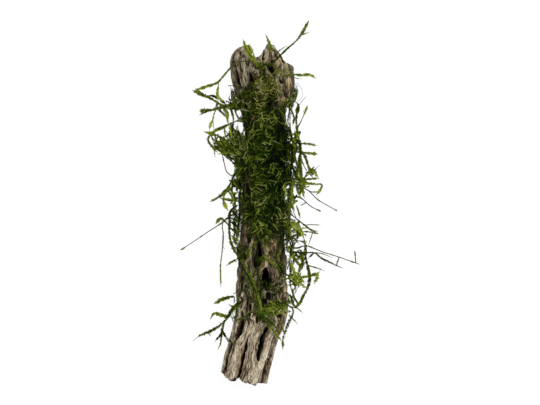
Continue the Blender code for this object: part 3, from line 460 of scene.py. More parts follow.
        [(278, 207), (286, 210.6), (299.7, 221.3), (311.2, 230), (318.1, 231)],
        [(304.5, 225.2), (311.2, 224.6), (320.4, 225)]], [
        (0.3, [(286, 210.6), (288.5, 216.5), (292, 219.2), (297, 220.4)]),
        (0.35, [(292.5, 215), (290.8, 210.8), (287.4, 206.8)]),
        (0.45, [(296.2, 218.2), (293.8, 212.6), (291.6, 206.8)]),
        (0.4, [(285, 210), (287.5, 206), (286.8, 200.5)])]),
    "right_mid_3": (0.9, 0.6, [
        [(296.2, 205.5), (298.6, 212.1), (300.1, 219)]], []),
    "right_mid_4": (0, 0.5, [
        [(296.4, 197), (302, 198.6), (311.2, 206.4), (321.1, 211.4)],
        [(306, 202.6), (300.9, 205.6)]], []),
    "right_mid_5": (0, 0.5, [
        [(296.6, 187.6), (306.6, 189.2), (316.6, 198.4), (323.4, 203), (337.2, 210.6)],
        [(307.5, 190), (312, 191.9), (318.4, 191.7)]], []),
    "right_mid_6": (1.1, 0.66, [
        [(287, 182), (296, 182.5), (304.1, 183), (315.3, 184.1), (322, 184.6), (320.4, 189.7),
         (316.3, 194.8)]], [
        (0.8, [(289, 182), (290.6, 188), (289.8, 195), (290, 202), (288.6, 208)]),
        (0.9, [(293, 182.3), (292.3, 189), (292.3, 197), (293.2, 203), (292, 208.6)]),
        (0.9, [(299.5, 182.7), (300.5, 188), (303, 193), (304.3, 198.5)]),
        (0.9, [(303, 183), (304.2, 186.5), (305.8, 190)]),
        (0.7, [(297, 182.4), (296.4, 188.5), (298.6, 194.5), (302.5, 198.8)]),
        (0.8, [(285.5, 183), (283.8, 187), (285.8, 193), (284.8, 200)])]),
    "right_mid_7": (1.15, 0.44, [
        [(285, 177.5), (295.9, 179), (303.6, 179.3), (318.4, 178.5)]], [
        (0.8, [(303.6, 179.3), (306.5, 175.5), (311, 173.8)])]),
    "right_high_1": (1.1, 0.48, [
        [(296.6, 152), (303.1, 153.5), (307.7, 164.7), (310.7, 176.2)],
        [(308.2, 167), (313.3, 171.5), (318.9, 179)]], [
        (0.3, [(313.3, 171.5), (316.3, 168.3), (319.9, 165.2)]),
        (0.9, [(309.5, 171.5), (311.5, 176), (313.6, 179)]),
        (0.9, [(309.3, 171), (312.3, 169), (314, 166)])]),
    "right_high_2": (1.35, 0.4, [
        [(286, 138.5), (293, 140), (299, 143.5), (300.5, 153), (299.5, 160.6), (301, 175.9),
         (305.1, 188.7)],
        [(299.3, 144), (306.1, 143.8), (317.3, 145.6)],
        [(300.5, 152.5), (306.1, 153), (317.9, 154.2)]], [
        (0.6, [(293, 140), (291.4, 136.6), (291.8, 131.2)]),
        (0.7, [(296.5, 141.8), (295, 137), (294.6, 130.5)]),
        (0.9, [(293, 140), (292, 147), (292.3, 155), (291.5, 162), (293.2, 169), (296, 176),
              (299, 183)]),
        (0.9, [(296.8, 142), (295, 148.5), (294.2, 155), (296.4, 162), (297.7, 169), (297, 176),
              (299.8, 184), (303, 192)]),
        (0.5, [(300.5, 152.5), (301.8, 160), (304.5, 167), (308.3, 173.5)]),
        (0.8, [(288, 138.8), (288.8, 144), (287.3, 150), (289.2, 158), (288.2, 167)])]),
    "right_high_3": (1.3, 0.4, [
        [(286, 103), (293, 101.5), (298, 105), (296.9, 113.7), (296.2, 119.8), (297.4, 133.6),
         (298.6, 140)],
        [(297.2, 128), (301.5, 120.3), (307.7, 105.5)]], [
        (0.25, [(298, 106), (299.7, 104.5), (306.4, 96.1)]),
        (1.1, [(298.2, 137), (299, 141.5), (300.2, 146.5), (300.3, 152)]),
        (0.9, [(297.4, 133), (294.8, 138), (294, 144), (295.5, 150)])]),
    "right_high_4": (1.0, 0.42, [
        [(284, 104.5), (289.5, 108.6), (292.3, 112.7), (293.9, 118.8), (292.6, 126)]], [
        (0.6, [(287.5, 107), (289.3, 105.5), (295.9, 96.1)]),
        (0.6, [(289.3, 108), (290.3, 105), (295.2, 101.2)]),
        (0.6, [(289.5, 108.6), (289.3, 110.1), (288.3, 115.7), (287.2, 124.9)])]),
    "right_frond": (1.1, 0.6, [
        [(283, 76.5), (292.6, 75.1), (301.8, 75.5), (309.5, 74.8), (316.4, 78.6)]], [
        (0.3, [(290, 75.5), (295, 78.2), (302.2, 79.6)])]),
    "top_runner": (1.15, 0.44, [
        [(268, 68), (275, 61.4), (286.5, 49.9), (296.5, 40.7), (303.2, 31), (309, 20)],
        [(300.8, 35.2), (309, 32.3)]], [
        (0.4, [(277.3, 60), (277.3, 53.7), (283.4, 48.4), (287.3, 46.8)])]),
    "top_centre": (1.15, 0.62, [
        [(272.5, 53), (270, 45.3), (265.5, 34.6)]], []),
    "top_left": (1.3, 0.6, [
        [(258, 67.5), (254.4, 62), (249.8, 55.2), (246, 48.4), (242.9, 39.6)],
        [(255.5, 63.7), (252.8, 53), (249, 44.5)]], []),
    "log_streak": (0.55, 0.42, [
        [(258, 246), (258, 275), (257, 300), (259, 320), (262, 334)]], [
        (0.55, [(258, 266), (254.5, 256), (251.5, 247)]),
        (0.55, [(257.8, 275), (262, 286), (260.5, 297), (264, 308)]),
        (0.5, [(257.5, 283), (253.5, 293), (255.5, 305), (259, 315)]),
        (0.5, [(258, 268), (253, 276), (250, 284), (247, 288)]),
        (0.5, [(257.5, 300), (254, 308), (249, 312), (243, 313)]),
        (0.6, [(258, 262), (263, 257), (271, 254.5), (279, 256.5)]),
        (0.6, [(257.5, 292), (263, 288), (270, 287.5), (277, 283)])]),
    "log_arc": (0.78, 0.58, [
        [(289.5, 298), (286.4, 303.8), (277.3, 308.8), (266, 311.5)]], [
        (0.55, [(287.5, 302), (279, 306.8), (269, 309.2), (262.5, 309)]),
        (0.5, [(289, 300), (281, 303), (272, 305), (265, 303.5)]),
        (0.6, [(286, 304), (282, 311), (276, 315), (270, 316)]),
        (0.5, [(279, 308), (274, 303.5), (267.5, 300)]),
        (0.6, [(283, 306.4), (275, 312), (267.5, 314.6)])]),
    "log_low_1": (0.85, 0.54, [
        [(262.5, 314), (267, 323), (274.2, 331.4), (281.6, 341)]], [
        (0.8, [(264.5, 316.5), (271, 322), (277.5, 329.5), (280.5, 334)]),
        (0.7, [(266, 320), (269, 327), (270.5, 333)])]),
    "log_low_2": (0.8, 0.52, [
        [(275, 312.5), (278.8, 319.9), (282, 327), (284.5, 334)]], []),
    "log_low_3": (0.85, 0.45, [
        [(253.5, 311.5), (243.6, 316.5), (235.1, 321.5)]], []),
}

# Stems whose leaves stand far apart, and in millimetres the gaps between a route's places and
# between leaves, the radii of stems, the tufts left on a bare stem, and how twigs sink
FERNY_STEMS = ("right_low_1", "right_low_2")
ROUTE_GAP = 0.4
LEAF_GAP = 0.3
FERNY_GAP = 0.6
TWIG_GAP = 0.27
STEM_RADIUS = 0.2
TWIG_RADIUS = 0.15
SPROUT_RADIUS = 0.12
WIRY_RADIUS, WIRY_TAPER = 0.27, 0.09
TUFT_PITCH, TUFT_REACH = 10.0, 2.2
TWIG_SINK = 0.25
TWIG_LIFT = 1.2
LOWEST_TWIG = 0.5

# Short side shoots of a stem: their length from and to, the share of its leaves' length, the
# marks before the first one, between two, and left free at the stem's end
SPROUT_LENGTHS = (1.0, 2.2)
SPROUT_SIZE = 0.65
FIRST_SPROUT = (8, 20)
SPROUT_PITCH = (11, 24)
SPROUT_FREE = 6

# How the leaves' length changes along a route, by its stem and its place among the stem's routes:
# (share of the route's length, share of the leaves' length)
SIZE_ALONG = {
    ("top_runner", 0): [(0, 0.45), (0.45, 0.65), (0.75, 1), (1, 1.2)],
    ("left_frond", 0): [(0, 0.3), (0.35, 0.45), (0.6, 1), (0.9, 0.9), (1, 0.4)],
    ("left_frond", 1): [(0, 0.2), (0.15, 0.3), (0.3, 1.1), (0.75, 1), (1, 0.3)],
    ("log_streak", 0): [(0, 0.2), (0.3, 0.9), (1, 0.8)],
    ("left_hanging", 1): [(0, 0.5), (1, 0.4)],
    ("left_high_2", 1): [(0, 0.3), (0.5, 0.35), (0.7, 0.7), (1, 0.5)],
    ("left_high_2", 2): [(0, 0.3), (0.3, 0.45), (0.6, 0.5), (1, 0.4)],
    ("left_low_1", 0): [(0, 0.9), (0.3, 1.1), (0.45, 0.6), (0.6, 0.75), (0.72, 1.1), (0.84, 0.9),
                        (0.9, 0.2), (1, 0.1)],
    ("left_low_1", 1): [(0, 0.8), (0.5, 0.9), (1, 0.7)],
    ("left_low_1", 2): [(0, 0.8), (0.4, 0.9), (0.6, 0.45), (1, 0.35)],
    ("left_low_2", 0): [(0, 0.7), (0.3, 1.15), (0.7, 0.9), (1, 0.3)],
    ("right_high_3", 0): [(0, 0.1), (0.24, 0.15), (0.29, 0.9), (0.38, 1.25), (0.5, 0.8), (0.65, 0.7),
                          (1, 1.1)],
    ("right_high_3", 1): [(0, 0.4), (0.45, 0.25), (0.65, 0.7), (0.85, 0.85), (1, 0.7)],
    ("right_high_2", 1): [(0, 0.35), (0.3, 0.85), (0.65, 1), (1, 0.35)],
    ("right_high_2", 2): [(0, 0.3), (0.3, 0.9), (1, 1)],
    ("right_hanging", 0): [(0, 0.2), (0.16, 0.4), (0.3, 1.1), (0.8, 1.15), (1, 0.8)],
    ("right_hanging", 1): [(0, 0.3), (0.6, 0.45), (1, 0.6)],
    ("right_arc", 0): [(0, 0.5), (0.4, 0.5), (0.85, 0.8), (1, 1.4)],
    ("right_arc", 1): [(0, 0.25), (1, 0.3)],
    ("top_centre", 0): [(0, 0.8), (0.5, 1), (1, 0.8)],
    ("top_left", 0): [(0, 0.8), (0.3, 1.2), (0.7, 1), (1, 0.5)],
}
TWIG_ALONG = [(0, 0.45), (0.3, 1), (0.8, 1), (1, 0.6)]

# A leaf's slant in degrees and how much that varies, and its form as shares of its length: its
# half width, where it is widest, how far its sides curl up, how far its tip droops; the
# shortest leaf that is made is in millimetres
LEAF_SLANT, SLANT_SPREAD = 43, 9
LEAF_HALF_WIDTH = 0.34
LEAF_WIDEST = 0.42
LEAF_CURL = 0.1
LEAF_DROOP = 0.12
SHORTEST_LEAF = 0.1

# Colours of moss from shaded to fresh
GREENS = [(0.0, (3, 6, 0)), (0.22, (21, 30, 4)), (0.42, (54, 67, 12)), (0.62, (100, 114, 28)),
          (0.82, (146, 156, 56)), (0.93, (172, 174, 80)), (1.0, (166, 156, 108))]
MATTED_GREENS = [(0.0, (2, 7, 1)), (0.2, (17, 33, 5)), (0.4, (53, 73, 13)), (0.6, (96, 115, 28)),
                 (0.8, (134, 149, 46)), (0.93, (156, 164, 74)), (1.0, (188, 180, 136))]
WIRY_GREENS = [(0.0, (22, 18, 6)), (0.3, (62, 56, 26)), (0.45, (84, 86, 30)), (0.7, (118, 128, 40)),
               (1.0, (150, 158, 60))]
OLIVE_TINT = (250, 226, 206)
COOL_TINT = (116, 192, 138)

# The stage: lamps are (name, place, size, power)
ROOM_LIGHT = 0.42
FLOOR_HALF = 3.0
FLOOR_TONE = 0.06
FLOOR_GLOW = 0.96
LAMPS = [("key", (0.3, 0.2, 1.0), 0.4, 9.5), ("fill", (-0.5, -0.3, 0.8), 0.8, 1.2)]
CAMERA_DISTANCE = 3.0
CAMERA_LEVEL = 0.015
VIEW_WIDTH = 540
VIEW_MIDDLE_DOWN = 202.5
SENSOR_WIDTH = 36.0


# Reading tables and the log's form

def curve_value(rows, keys, column=1):
    """Read a column of a table at many keys, on a smooth curve through its rows."""
    table = np.array(rows, float)
    spots, values = table[:, 0], table[:, column]
    last = len(spots) - 1
    at = np.clip(np.searchsorted(spots, keys, side="right") - 1, 0, last - 1)
    before, after = np.maximum(at - 1, 0), np.minimum(at + 2, last)
    span = spots[at + 1] - spots[at]
    share = np.clip((keys - spots[at]) / span, 0, 1)
    slope_low = (values[at + 1] - values[before]) / (spots[at + 1] - spots[before]) * span
    slope_high = (values[after] - values[at]) / (spots[after] - spots[at]) * span
    cube, square = share ** 3, share ** 2
    return (values[at] * (2 * cube - 3 * square + 1) + slope_low * (cube - 2 * square + share)
            + values[at + 1] * (3 * square - 2 * cube) + slope_high * (cube - square))


def round_the_log(rows, angle):
    start = rows[0][0]
    return curve_value(rows + [(start + 360, rows[0][1])], start + (angle - start) % 360)


def turn(angle):
    """The same angle between -180 and 180."""
    return (angle + 180.0) % 360.0 - 180.0


def fade(share):
    """A smooth fall from 1 at a share of 0 to 0 at a share of 1."""
    share = np.clip(share, 0, 1)
    return (1 - share) ** 2 * (1 + 2 * share)


def on_plan(points):
    """Where points are on the plan grid: across and down."""
    return ORIGIN_ACROSS + points[..., 0] / STEP, ORIGIN_DOWN - points[..., 1] / STEP


def off_oval(points, across, down, wide, tall):
    """How far points are from the middle of an oval in plan: 1 is on the oval."""
    at_across, at_down = on_plan(points)
    return np.hypot((at_across - across) / wide, (at_down - down) / tall)


def log_section(down):
    """Centre, direction along, direction across, radius and axis height of the log at a down."""
    left, right = curve_value(LOG_EDGES, down, 1), curve_value(LOG_EDGES, down, 2)
    ahead = curve_value(LOG_EDGES, down - 1, 1) + curve_value(LOG_EDGES, down - 1, 2)
    behind = curve_value(LOG_EDGES, down + 1, 1) + curve_value(LOG_EDGES, down + 1, 2)
    along = np.stack([(ahead - behind) / 2, np.full_like(left, 2.0)], axis=-1)
    along /= np.linalg.norm(along, axis=-1, keepdims=True)
    across = np.stack([along[..., 1], -along[..., 0]], axis=-1)
    centre = np.stack([((left + right) / 2 - ORIGIN_ACROSS) * STEP, (ORIGIN_DOWN - down) * STEP],
                      axis=-1)
    radius = (right - left) / 2 * STEP * along[..., 1]
    share = (down - FIRST_STATION) / (LAST_STATION - FIRST_STATION)
    return centre, along, across, radius, LOG_AXIS_LOBED + share * (LOG_AXIS_CUT - LOG_AXIS_LOBED)


def on_log(angle, down, reach):
    """Points at a distance from the log's axis, and the directions that point out from it."""
    centre, along, across, radius, height = log_section(down)
    side, up = np.sin(np.radians(angle)), np.cos(np.radians(angle))
    flat = centre + across * (reach * side)[..., None]
    points = np.concatenate([flat, (height + reach * up)[..., None]], axis=-1)
    return points, np.concatenate([across * side[..., None], up[..., None]], axis=-1)


def over_log(points, lift):
    """How high the log with a layer of moss on it reaches under points, or 0, and its axis height."""
    centre, along, across, radius, height = log_section(on_plan(points)[1])
    offset = (points[..., 0] - centre[..., 0]) * along[..., 1]
    left = (radius + STRUT_SWELL + lift) ** 2 - offset ** 2
    return np.where(left > 0, height + np.sqrt(np.maximum(left, 0)), 0.0), height


def real_down(station, angle):
    """Where a station of the plain log is once its ends have their real outline."""
    lobed, cut = round_the_log(LOBED_END, angle), round_the_log(CUT_END, angle)
    upper = LOBED_FREE - (LOBED_FREE - station) * (LOBED_FREE - lobed) / (LOBED_FREE - FIRST_STATION)
    lower = CUT_FREE + (station - CUT_FREE) * (cut - CUT_FREE) / (LAST_STATION - CUT_FREE)
    return np.where(station < LOBED_FREE, upper, np.where(station > CUT_FREE, lower, station))


def all_openings():
    found = list(OPENINGS)
    for row, (angle, first, last, half) in enumerate(OPENING_ROWS):
        top = first + (row % 2) * OPENING_PITCH / 2
        while top + OPENING_LENGTH < last:
            sway = OPENING_SWAY * np.sin(top * 0.11 + row)
            found.append((top, top + OPENING_LENGTH + sway, angle + sway, half))
            top += OPENING_PITCH
    return found


def noise(kind, u, v):
    """Smooth noise from 0 to 1; u and v are counted in the cells of its table and wrap round."""
    seed, columns, rows = kind
    table = np.random.default_rng(seed).random((columns, rows))
    i, j = np.floor(u).astype(int), np.floor(v).astype(int)
    fu, fv = u - i, v - j
    fu, fv = fu * fu * (3 - 2 * fu), fv * fv * (3 - 2 * fv)
    i, j = i % columns, j % rows
    k, m = (i + 1) % columns, (j + 1) % rows
    low = table[i, j] * (1 - fu) + table[k, j] * fu
    high = table[i, m] * (1 - fu) + table[k, m] * fu
    return low * (1 - fv) + high * fv


# How the wood and the moss change from place to place

def crack_share(points):
    """How deep the cracks are, from 0 to 1; the same share paints shade into them."""
    across, down = on_plan(points)
    share = np.zeros(across.shape)
    for from_across, from_down, to_across, to_down, half in CRACKS:
        way = np.array([to_across - from_across, to_down - from_down])
        t = ((across - from_across) * way[0] + (down - from_down) * way[1]) / (way @ way)
        t = np.clip(t, 0, 1)
        off = np.hypot(across - from_across - t * way[0], down - from_down - t * way[1])
        width = half * (0.35 + 1.3 * np.sqrt(t * (1 - t)))
        share = np.maximum(share, fade(off / (1.45 * width)))
    return np.minimum(1, 3.0 * share)


def between(down, start, end):
    """A share that rises to 1 after a start and falls to 0 before an end, both along the log."""
    return (np.clip((down - start[0]) / start[1], 0, 1)
            * np.clip((end[0] - down) / end[1], 0, 1))


def shade_under_mat(points, angle):
    """Where the log is under a dense mat; painted shade darkens the wood there."""
    share = between(on_plan(points)[1], MAT_START, MAT_END)
    return share * (np.abs(turn(angle)) < MAT_ANGLE) * (1 - thin_share(points))


def damp_share(points):
    """How damp and green the wood is: all through under the moss, fading towards both ends."""
    across, down = on_plan(points)
    patch = noise(DAMP_NOISE, across / 9.0, down / 14.0)
    thin = 1 - 0.75 * thin_share(points)
    share = between(down, DAMP_START, DAMP_END)
    return np.clip(share * (0.75 + 0.7 * patch) * thin - 0.08, 0, 1)


def torn_share(points):
    """How fresh and tan the wood is, where fibres were torn from it."""
    share = np.zeros(len(points))
    for place in TORN_PLACES:
        share = np.maximum(share, fade(off_oval(points, *place) / 1.3) * (points[:, 2] > 8.0))
    return share


def thin_share(points):
    """How thin the mat is, from 0 to 1."""
    share = np.zeros(points.shape[:-1])
    for *place, most in THIN_PLACES:
        share = np.maximum(share, most * fade(off_oval(points, *place) / 1.4))
    return share


def brown_share(points):
    """Towards the lobed end and over the bare wood the moss is thin and olive brown."""
    end = fade((on_plan(points)[1] - OLIVE_END[0]) / OLIVE_END[1])
    return np.maximum(end, fade(off_oval(points, *OLIVE_PLACE)))


def cool_share(points):
    """Over an oval on the right of the mat the moss is a darker, bluer green."""
    return fade(off_oval(points, *COOL_PLACE))


def in_gap(points):
    """Which points lie in the gaps between the log and the moss beside it."""
    return np.any([off_oval(points, *place) < 1 for place in GAPS], axis=0)


def clumps(points):
    """The moss is in lighter and darker clumps a few millimetres wide."""
    across, down = on_plan(points)
    from_across, wide, middle_down, tall = LIGHT_EDGE
    edge = fade((across - from_across) / wide) * fade(np.abs(down - middle_down) / tall)
    end = fade((down - LIGHT_END[0]) / LIGHT_END[1])
    return 0.6 + 0.8 * noise(CLUMP_NOISE, across / 7.0, down / 11.0) + 0.35 * edge + 0.35 * end


# Making pieces

def make_mesh(name, points, triangles, smooth, fields):
    """A mesh in metres from arrays in millimetres; fields are numbers or vectors at its points."""
    mesh = bpy.data.meshes.new(name)
    mesh.vertices.add(len(points))
    mesh.vertices.foreach_set("co", (points * MM).astype(np.float32).ravel())
    mesh.loops.add(triangles.size)
    mesh.loops.foreach_set("vertex_index", triangles.astype(np.int32).ravel())
    mesh.polygons.add(len(triangles))
    mesh.polygons.foreach_set("loop_start", np.arange(0, triangles.size, 3, dtype=np.int32))
    mesh.polygons.foreach_set("use_smooth", np.broadcast_to(smooth, len(triangles)).astype(bool))
    mesh.update(calc_edges=True)
    for field, values in fields.items():
        vector = values.ndim == 2
        layer = mesh.attributes.new(field, "FLOAT_VECTOR" if vector else "FLOAT", "POINT")
        layer.data.foreach_set("vector" if vector else "value", values.astype(np.float32).ravel())
    made = bpy.data.objects.new(name, mesh)
    bpy.context.scene.collection.objects.link(made)
    return made


def add_piece(made, node, looks):
    made.data.materials.append(looks)
    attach(made, "root")
    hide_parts(node)


# The log

def slits_of(openings):
    """Openings as slits on the fine mesh: (line, first and last station, angle, half width, open)."""
    slits = []
    for first, last, angle, half in openings:
        line = round(angle / 360.0 * LINES) % LINES
        start = max(1, round((first - FIRST_STATION) / STATION_GAP))
        finish = STATIONS if last >= OPEN_END else min(
            STATIONS - 2, max(start + 2, round((last - FIRST_STATION) / STATION_GAP)))
        slits.append((line, start, finish, angle, half, last >= OPEN_END))
    return slits


def open_slits(slits, side, line, at, base, radius):
    """The angles round one side of every slit once it is spread open, and how its lips dip."""
    angle, dip = base.copy(), np.zeros(base.shape)
    for slit_line, start, finish, wanted, half, opened in slits:
        closed = turn(slit_line * 360.0 / LINES)
        apart = turn(base - closed)
        spread = fade(np.abs(apart) / SPREAD_ANGLE)
        outside = np.maximum(np.maximum(start - at, at - finish), 0) * STATION_GAP / SHIFT_REACH
        angle += turn(wanted - closed) * fade(outside) * spread
        within = (at > start) & (at < finish)
        along = np.clip((at - start) / (finish - start), 0, 1)
        lens = np.minimum(1, 2.4 * along) if opened else 4 * along * (1 - along)
        lens = lens ** LENS_POWER
        ragged = 1 + RAGGED * (noise(SLIT_NOISE, at * 0.7 + slit_line * 7.3,
                                     np.full(at.shape, 2.0 * side)) - 0.5)
        widening = np.degrees(half * STEP * lens * ragged / radius)
        way = np.where(line == slit_line, side, np.where(apart > 0, 1, -1))
        angle += np.where(within, way * widening * spread, 0)
        past_lip = np.radians(np.abs(apart) + widening * (spread - 1)) * radius
        near = fade(past_lip / EDGE_DIP_REACH) * np.minimum(1, 1.4 * lens)
        dip = np.maximum(dip, np.where(within & (spread > 0), near, 0))
    return angle, dip


def wood_relief(line, station):
    """Grain, grooves and lumps of the wood, in millimetres; they run with the struts."""
    along = station * STEP
    sway = 1.5 * np.sin(along / 13.0 + line / 37.0)
    share = (line + sway) / LINES
    relief = sum(height * (noise(kind, share * kind[1], along / length) - 0.5)
                 for kind, length, height in GRAIN)
    crease = 2 * noise(CREASE_NOISE, share * CREASE_NOISE[1], along / CREASE_LENGTH) - 1
    return relief - CREASE_DEPTH * fade(np.abs(crease) / 0.16)


def split_numbers(slits, shape):
    """Numbers of the wall's points as seen from the lower and the higher line beside them.

    The two differ along a slit.
    """
    split = np.zeros(shape, bool)
    for line, start, finish, *rest in slits:
        split[line, start + 1:finish] = True
    number = np.tile(np.arange(split.size).reshape(shape), (2, 1, 1))
    number[0][split] = split.size + np.arange(split.sum())
    return number


def rim_edges(slits, number):
    """Edges between points round both ends of the log and round each slit."""
    ends = [np.stack([number[1][:, at], np.roll(number[0][:, at], -1)], -1) for at in (0, -1)]
    edges = [ends[0], ends[1][:, ::-1]]
    for line, start, finish, *rest in slits:
        steps = np.arange(start, min(finish, STATIONS - 1))
        edges.append(np.stack([number[1][line, steps + 1], number[1][line, steps]], -1))
        edges.append(np.stack([number[0][line, steps], number[0][line, steps + 1]], -1))
    return np.concatenate(edges)


def build_walls(slits, number):
    """Points of the outer and the inner wall, and the relief, station, line and shade at them."""
    line, at = np.meshgrid(np.arange(LINES), np.arange(STATIONS), indexing="ij")
    station = FIRST_STATION + (LAST_STATION - FIRST_STATION) * at / (STATIONS - 1)
    base = turn(line * 360.0 / LINES)
    uneven = noise(END_NOISE, line * END_NOISE[1] / LINES, at * 0.0) - 0.5
    towards_end = (fade((station - FIRST_STATION) / RAGGED_END_REACH)
                   + fade((LAST_STATION - station) / RAGGED_END_REACH))
    down = real_down(station, base) + RAGGED_END * uneven * towards_end
    radius = log_section(down)[3]
    end = np.clip(1 - (station - FIRST_STATION) / RIM_REACH, 0, 1)
    relief = wood_relief(line.astype(float), station)

    count = number.max() + 1
    outside, inside = np.zeros((2, count, 3))
    reliefs, stations, lines, shades = np.zeros((4, count))
    for side, own in zip((-1, 1), number):
        angle, dip = open_slits(slits, side, line, at, base, radius)
        outer = (radius * (1 - RIM_ROUNDING * end ** 2) - EDGE_DIP * dip
                 + relief * (1 - 0.5 * dip)
                 + STRUT_SWELL * np.sin(np.radians(STRUTS * angle) + station / STRUT_TWIST))
        spots = on_log(angle, down, outer)[0]
        crack = crack_share(spots) * (np.cos(np.radians(angle)) > CRACK_FACING)
        outer -= CRACK_DEPTH * crack
        inner = radius * BORE_SHARE + EDGE_FLARE * dip + 0.5 * relief
        # Painted shade under the mats, at the openings' rims and in the cracks
        shade = np.maximum(MAT_SHADE * shade_under_mat(spots, angle), LIP_SHADE * dip)
        shades[own] = np.maximum(shade, crack)
        reliefs[own], stations[own], lines[own] = relief, station, line
        for wall, reach in ((outside, outer), (inside, inner)):
            wall[own] = on_log(angle, down, reach)[0]
    for wall in (outside, inside):
        wall[:, 2] = np.maximum(0.0, wall[:, 2])
    return outside, inside, reliefs, stations, lines, shades


def build_lips(outside, inside, rim, edges):
    """Rough lips between the two walls round every rim: their points and their triangles."""
    out = outside[rim] - inside[rim]
    out /= np.linalg.norm(out, axis=1, keepdims=True)
    rough = np.random.default_rng(LIP_SEED).normal(0, LIP_ROUGHNESS, (LIP_STEPS, len(rim), 3))
    points, layers = [], [rim]
    for step in range(LIP_STEPS):
        share = (step + 1) / (LIP_STEPS + 1)
        spots = outside[rim] * (1 - share) + inside[rim] * share
        spots += rough[step] - out * np.sum(rough[step] * out, 1, keepdims=True)
        spots[:, 2] = np.maximum(0.0, spots[:, 2])
        points.append(spots)
        layers.append(2 * len(outside) + step * len(rim) + np.arange(len(rim)))
    layers.append(rim + len(outside))
    triangles = []
    for upper, lower in zip(layers, layers[1:]):
        p, q = upper[edges[:, 0]], upper[edges[:, 1]]
        r, s = lower[edges[:, 1]], lower[edges[:, 0]]
        triangles += [np.stack([p, q, r], -1), np.stack([p, r, s], -1)]
    return points, triangles


def build_log():
    """The wood: an outer and an inner wall with slits, joined by lips round every rim."""
    slits = slits_of(all_openings())
    number = split_numbers(slits, (LINES, STATIONS))
    outside, inside, relief, station, line, shade = build_walls(slits, number)
    count = len(outside)

    first, second = number[1], np.roll(number[0], -1, axis=0)
    a, b, c, d = first[:, :-1], first[:, 1:], second[:, 1:], second[:, :-1]
    sheet = np.stack([np.stack([a, b, c], -1), np.stack([a, c, d], -1)], 2).reshape(-1, 3)
    edges = rim_edges(slits, number)
    rim, place = np.unique(edges, return_inverse=True)
    lip_points, lip_triangles = build_lips(outside, inside, rim, place.reshape(edges.shape))
    points = np.concatenate([outside, inside] + lip_points)
    triangles = np.concatenate([sheet, sheet[:, ::-1] + count] + lip_triangles)
    first, second, third = (points[triangles[:, k]] for k in range(3))
    if np.sum(first * np.cross(second, third)) < 0:
        triangles = triangles[:, ::-1]

    # Painted shade: the walls keep theirs, the bore is fully shaded and the lips darken inwards
    lip = np.tile(rim, LIP_STEPS)
    lip_painted_shade = np.repeat(np.linspace(*LIP_PAINTED_SHADES, LIP_STEPS), len(rim))
    painted_shade = np.concatenate([shade, np.ones(count), lip_painted_shade])
    along = np.concatenate([station, station, station[lip]]) * STEP
    around = np.concatenate([line, line, line[lip]]) / LINES * 2 * pi * GRAIN_RADIUS
    made = make_mesh("cholla_log_wood", points, triangles, True, {
        "grain": np.stack([around, along, painted_shade * WALL_THICKNESS], -1), "painted_shade": painted_shade,
        "relief": np.concatenate([relief, relief - BORE_DARKER, np.full(len(lip), -LIP_DARKER)]),
        "damp": damp_share(points), "torn": torn_share(points)})
    made.data.set_sharp_from_angle(angle=radians(SHARP_ANGLE))
    return made


# Strands of moss

def unit(vectors):
    return vectors / np.maximum(1e-9, np.linalg.norm(vectors, axis=-1, keepdims=True))


def pick(field, low, share):
    """Values between the marks of each strand; low is the mark before, share the rest."""
    rows = np.arange(len(field))[:, None]
    share = share[..., None] if field.ndim == 3 else share
    return field[rows, low] * (1 - share) + field[rows, low + 1] * share


def tubes(points, ups, radii, fresh, sides):
    """Thin stems: points, ups are (strand, mark, 3), radii and fresh are (strand, mark)."""
    strands, marks = radii.shape
    ahead = unit(np.gradient(points, axis=1))
    across = unit(np.cross(ahead, ups))
    lift = np.cross(across, ahead)
    angles = np.arange(sides) * 2 * pi / sides
    ring = (points[:, :, None] + radii[..., None, None] * (
        across[:, :, None] * np.cos(angles)[:, None] + lift[:, :, None] * np.sin(angles)[:, None]))
    spots = ring.reshape(-1, 3)
    number = np.arange(strands * marks * sides).reshape(strands, marks, sides)
    follow = np.roll(number, -1, axis=2)
    a, b = number[:, :-1], follow[:, :-1]
    c, d = follow[:, 1:], number[:, 1:]
    faces = [np.stack([a, b, c], -1).reshape(-1, 3), np.stack([a, c, d], -1).reshape(-1, 3)]
    for k in range(1, sides - 1):
        faces.append(np.stack([number[:, 0, 0], number[:, 0, k + 1], number[:, 0, k]], -1))
        faces.append(np.stack([number[:, -1, 0], number[:, -1, k], number[:, -1, k + 1]], -1))
    return spots, np.concatenate(faces), np.repeat(fresh.ravel(), sides)


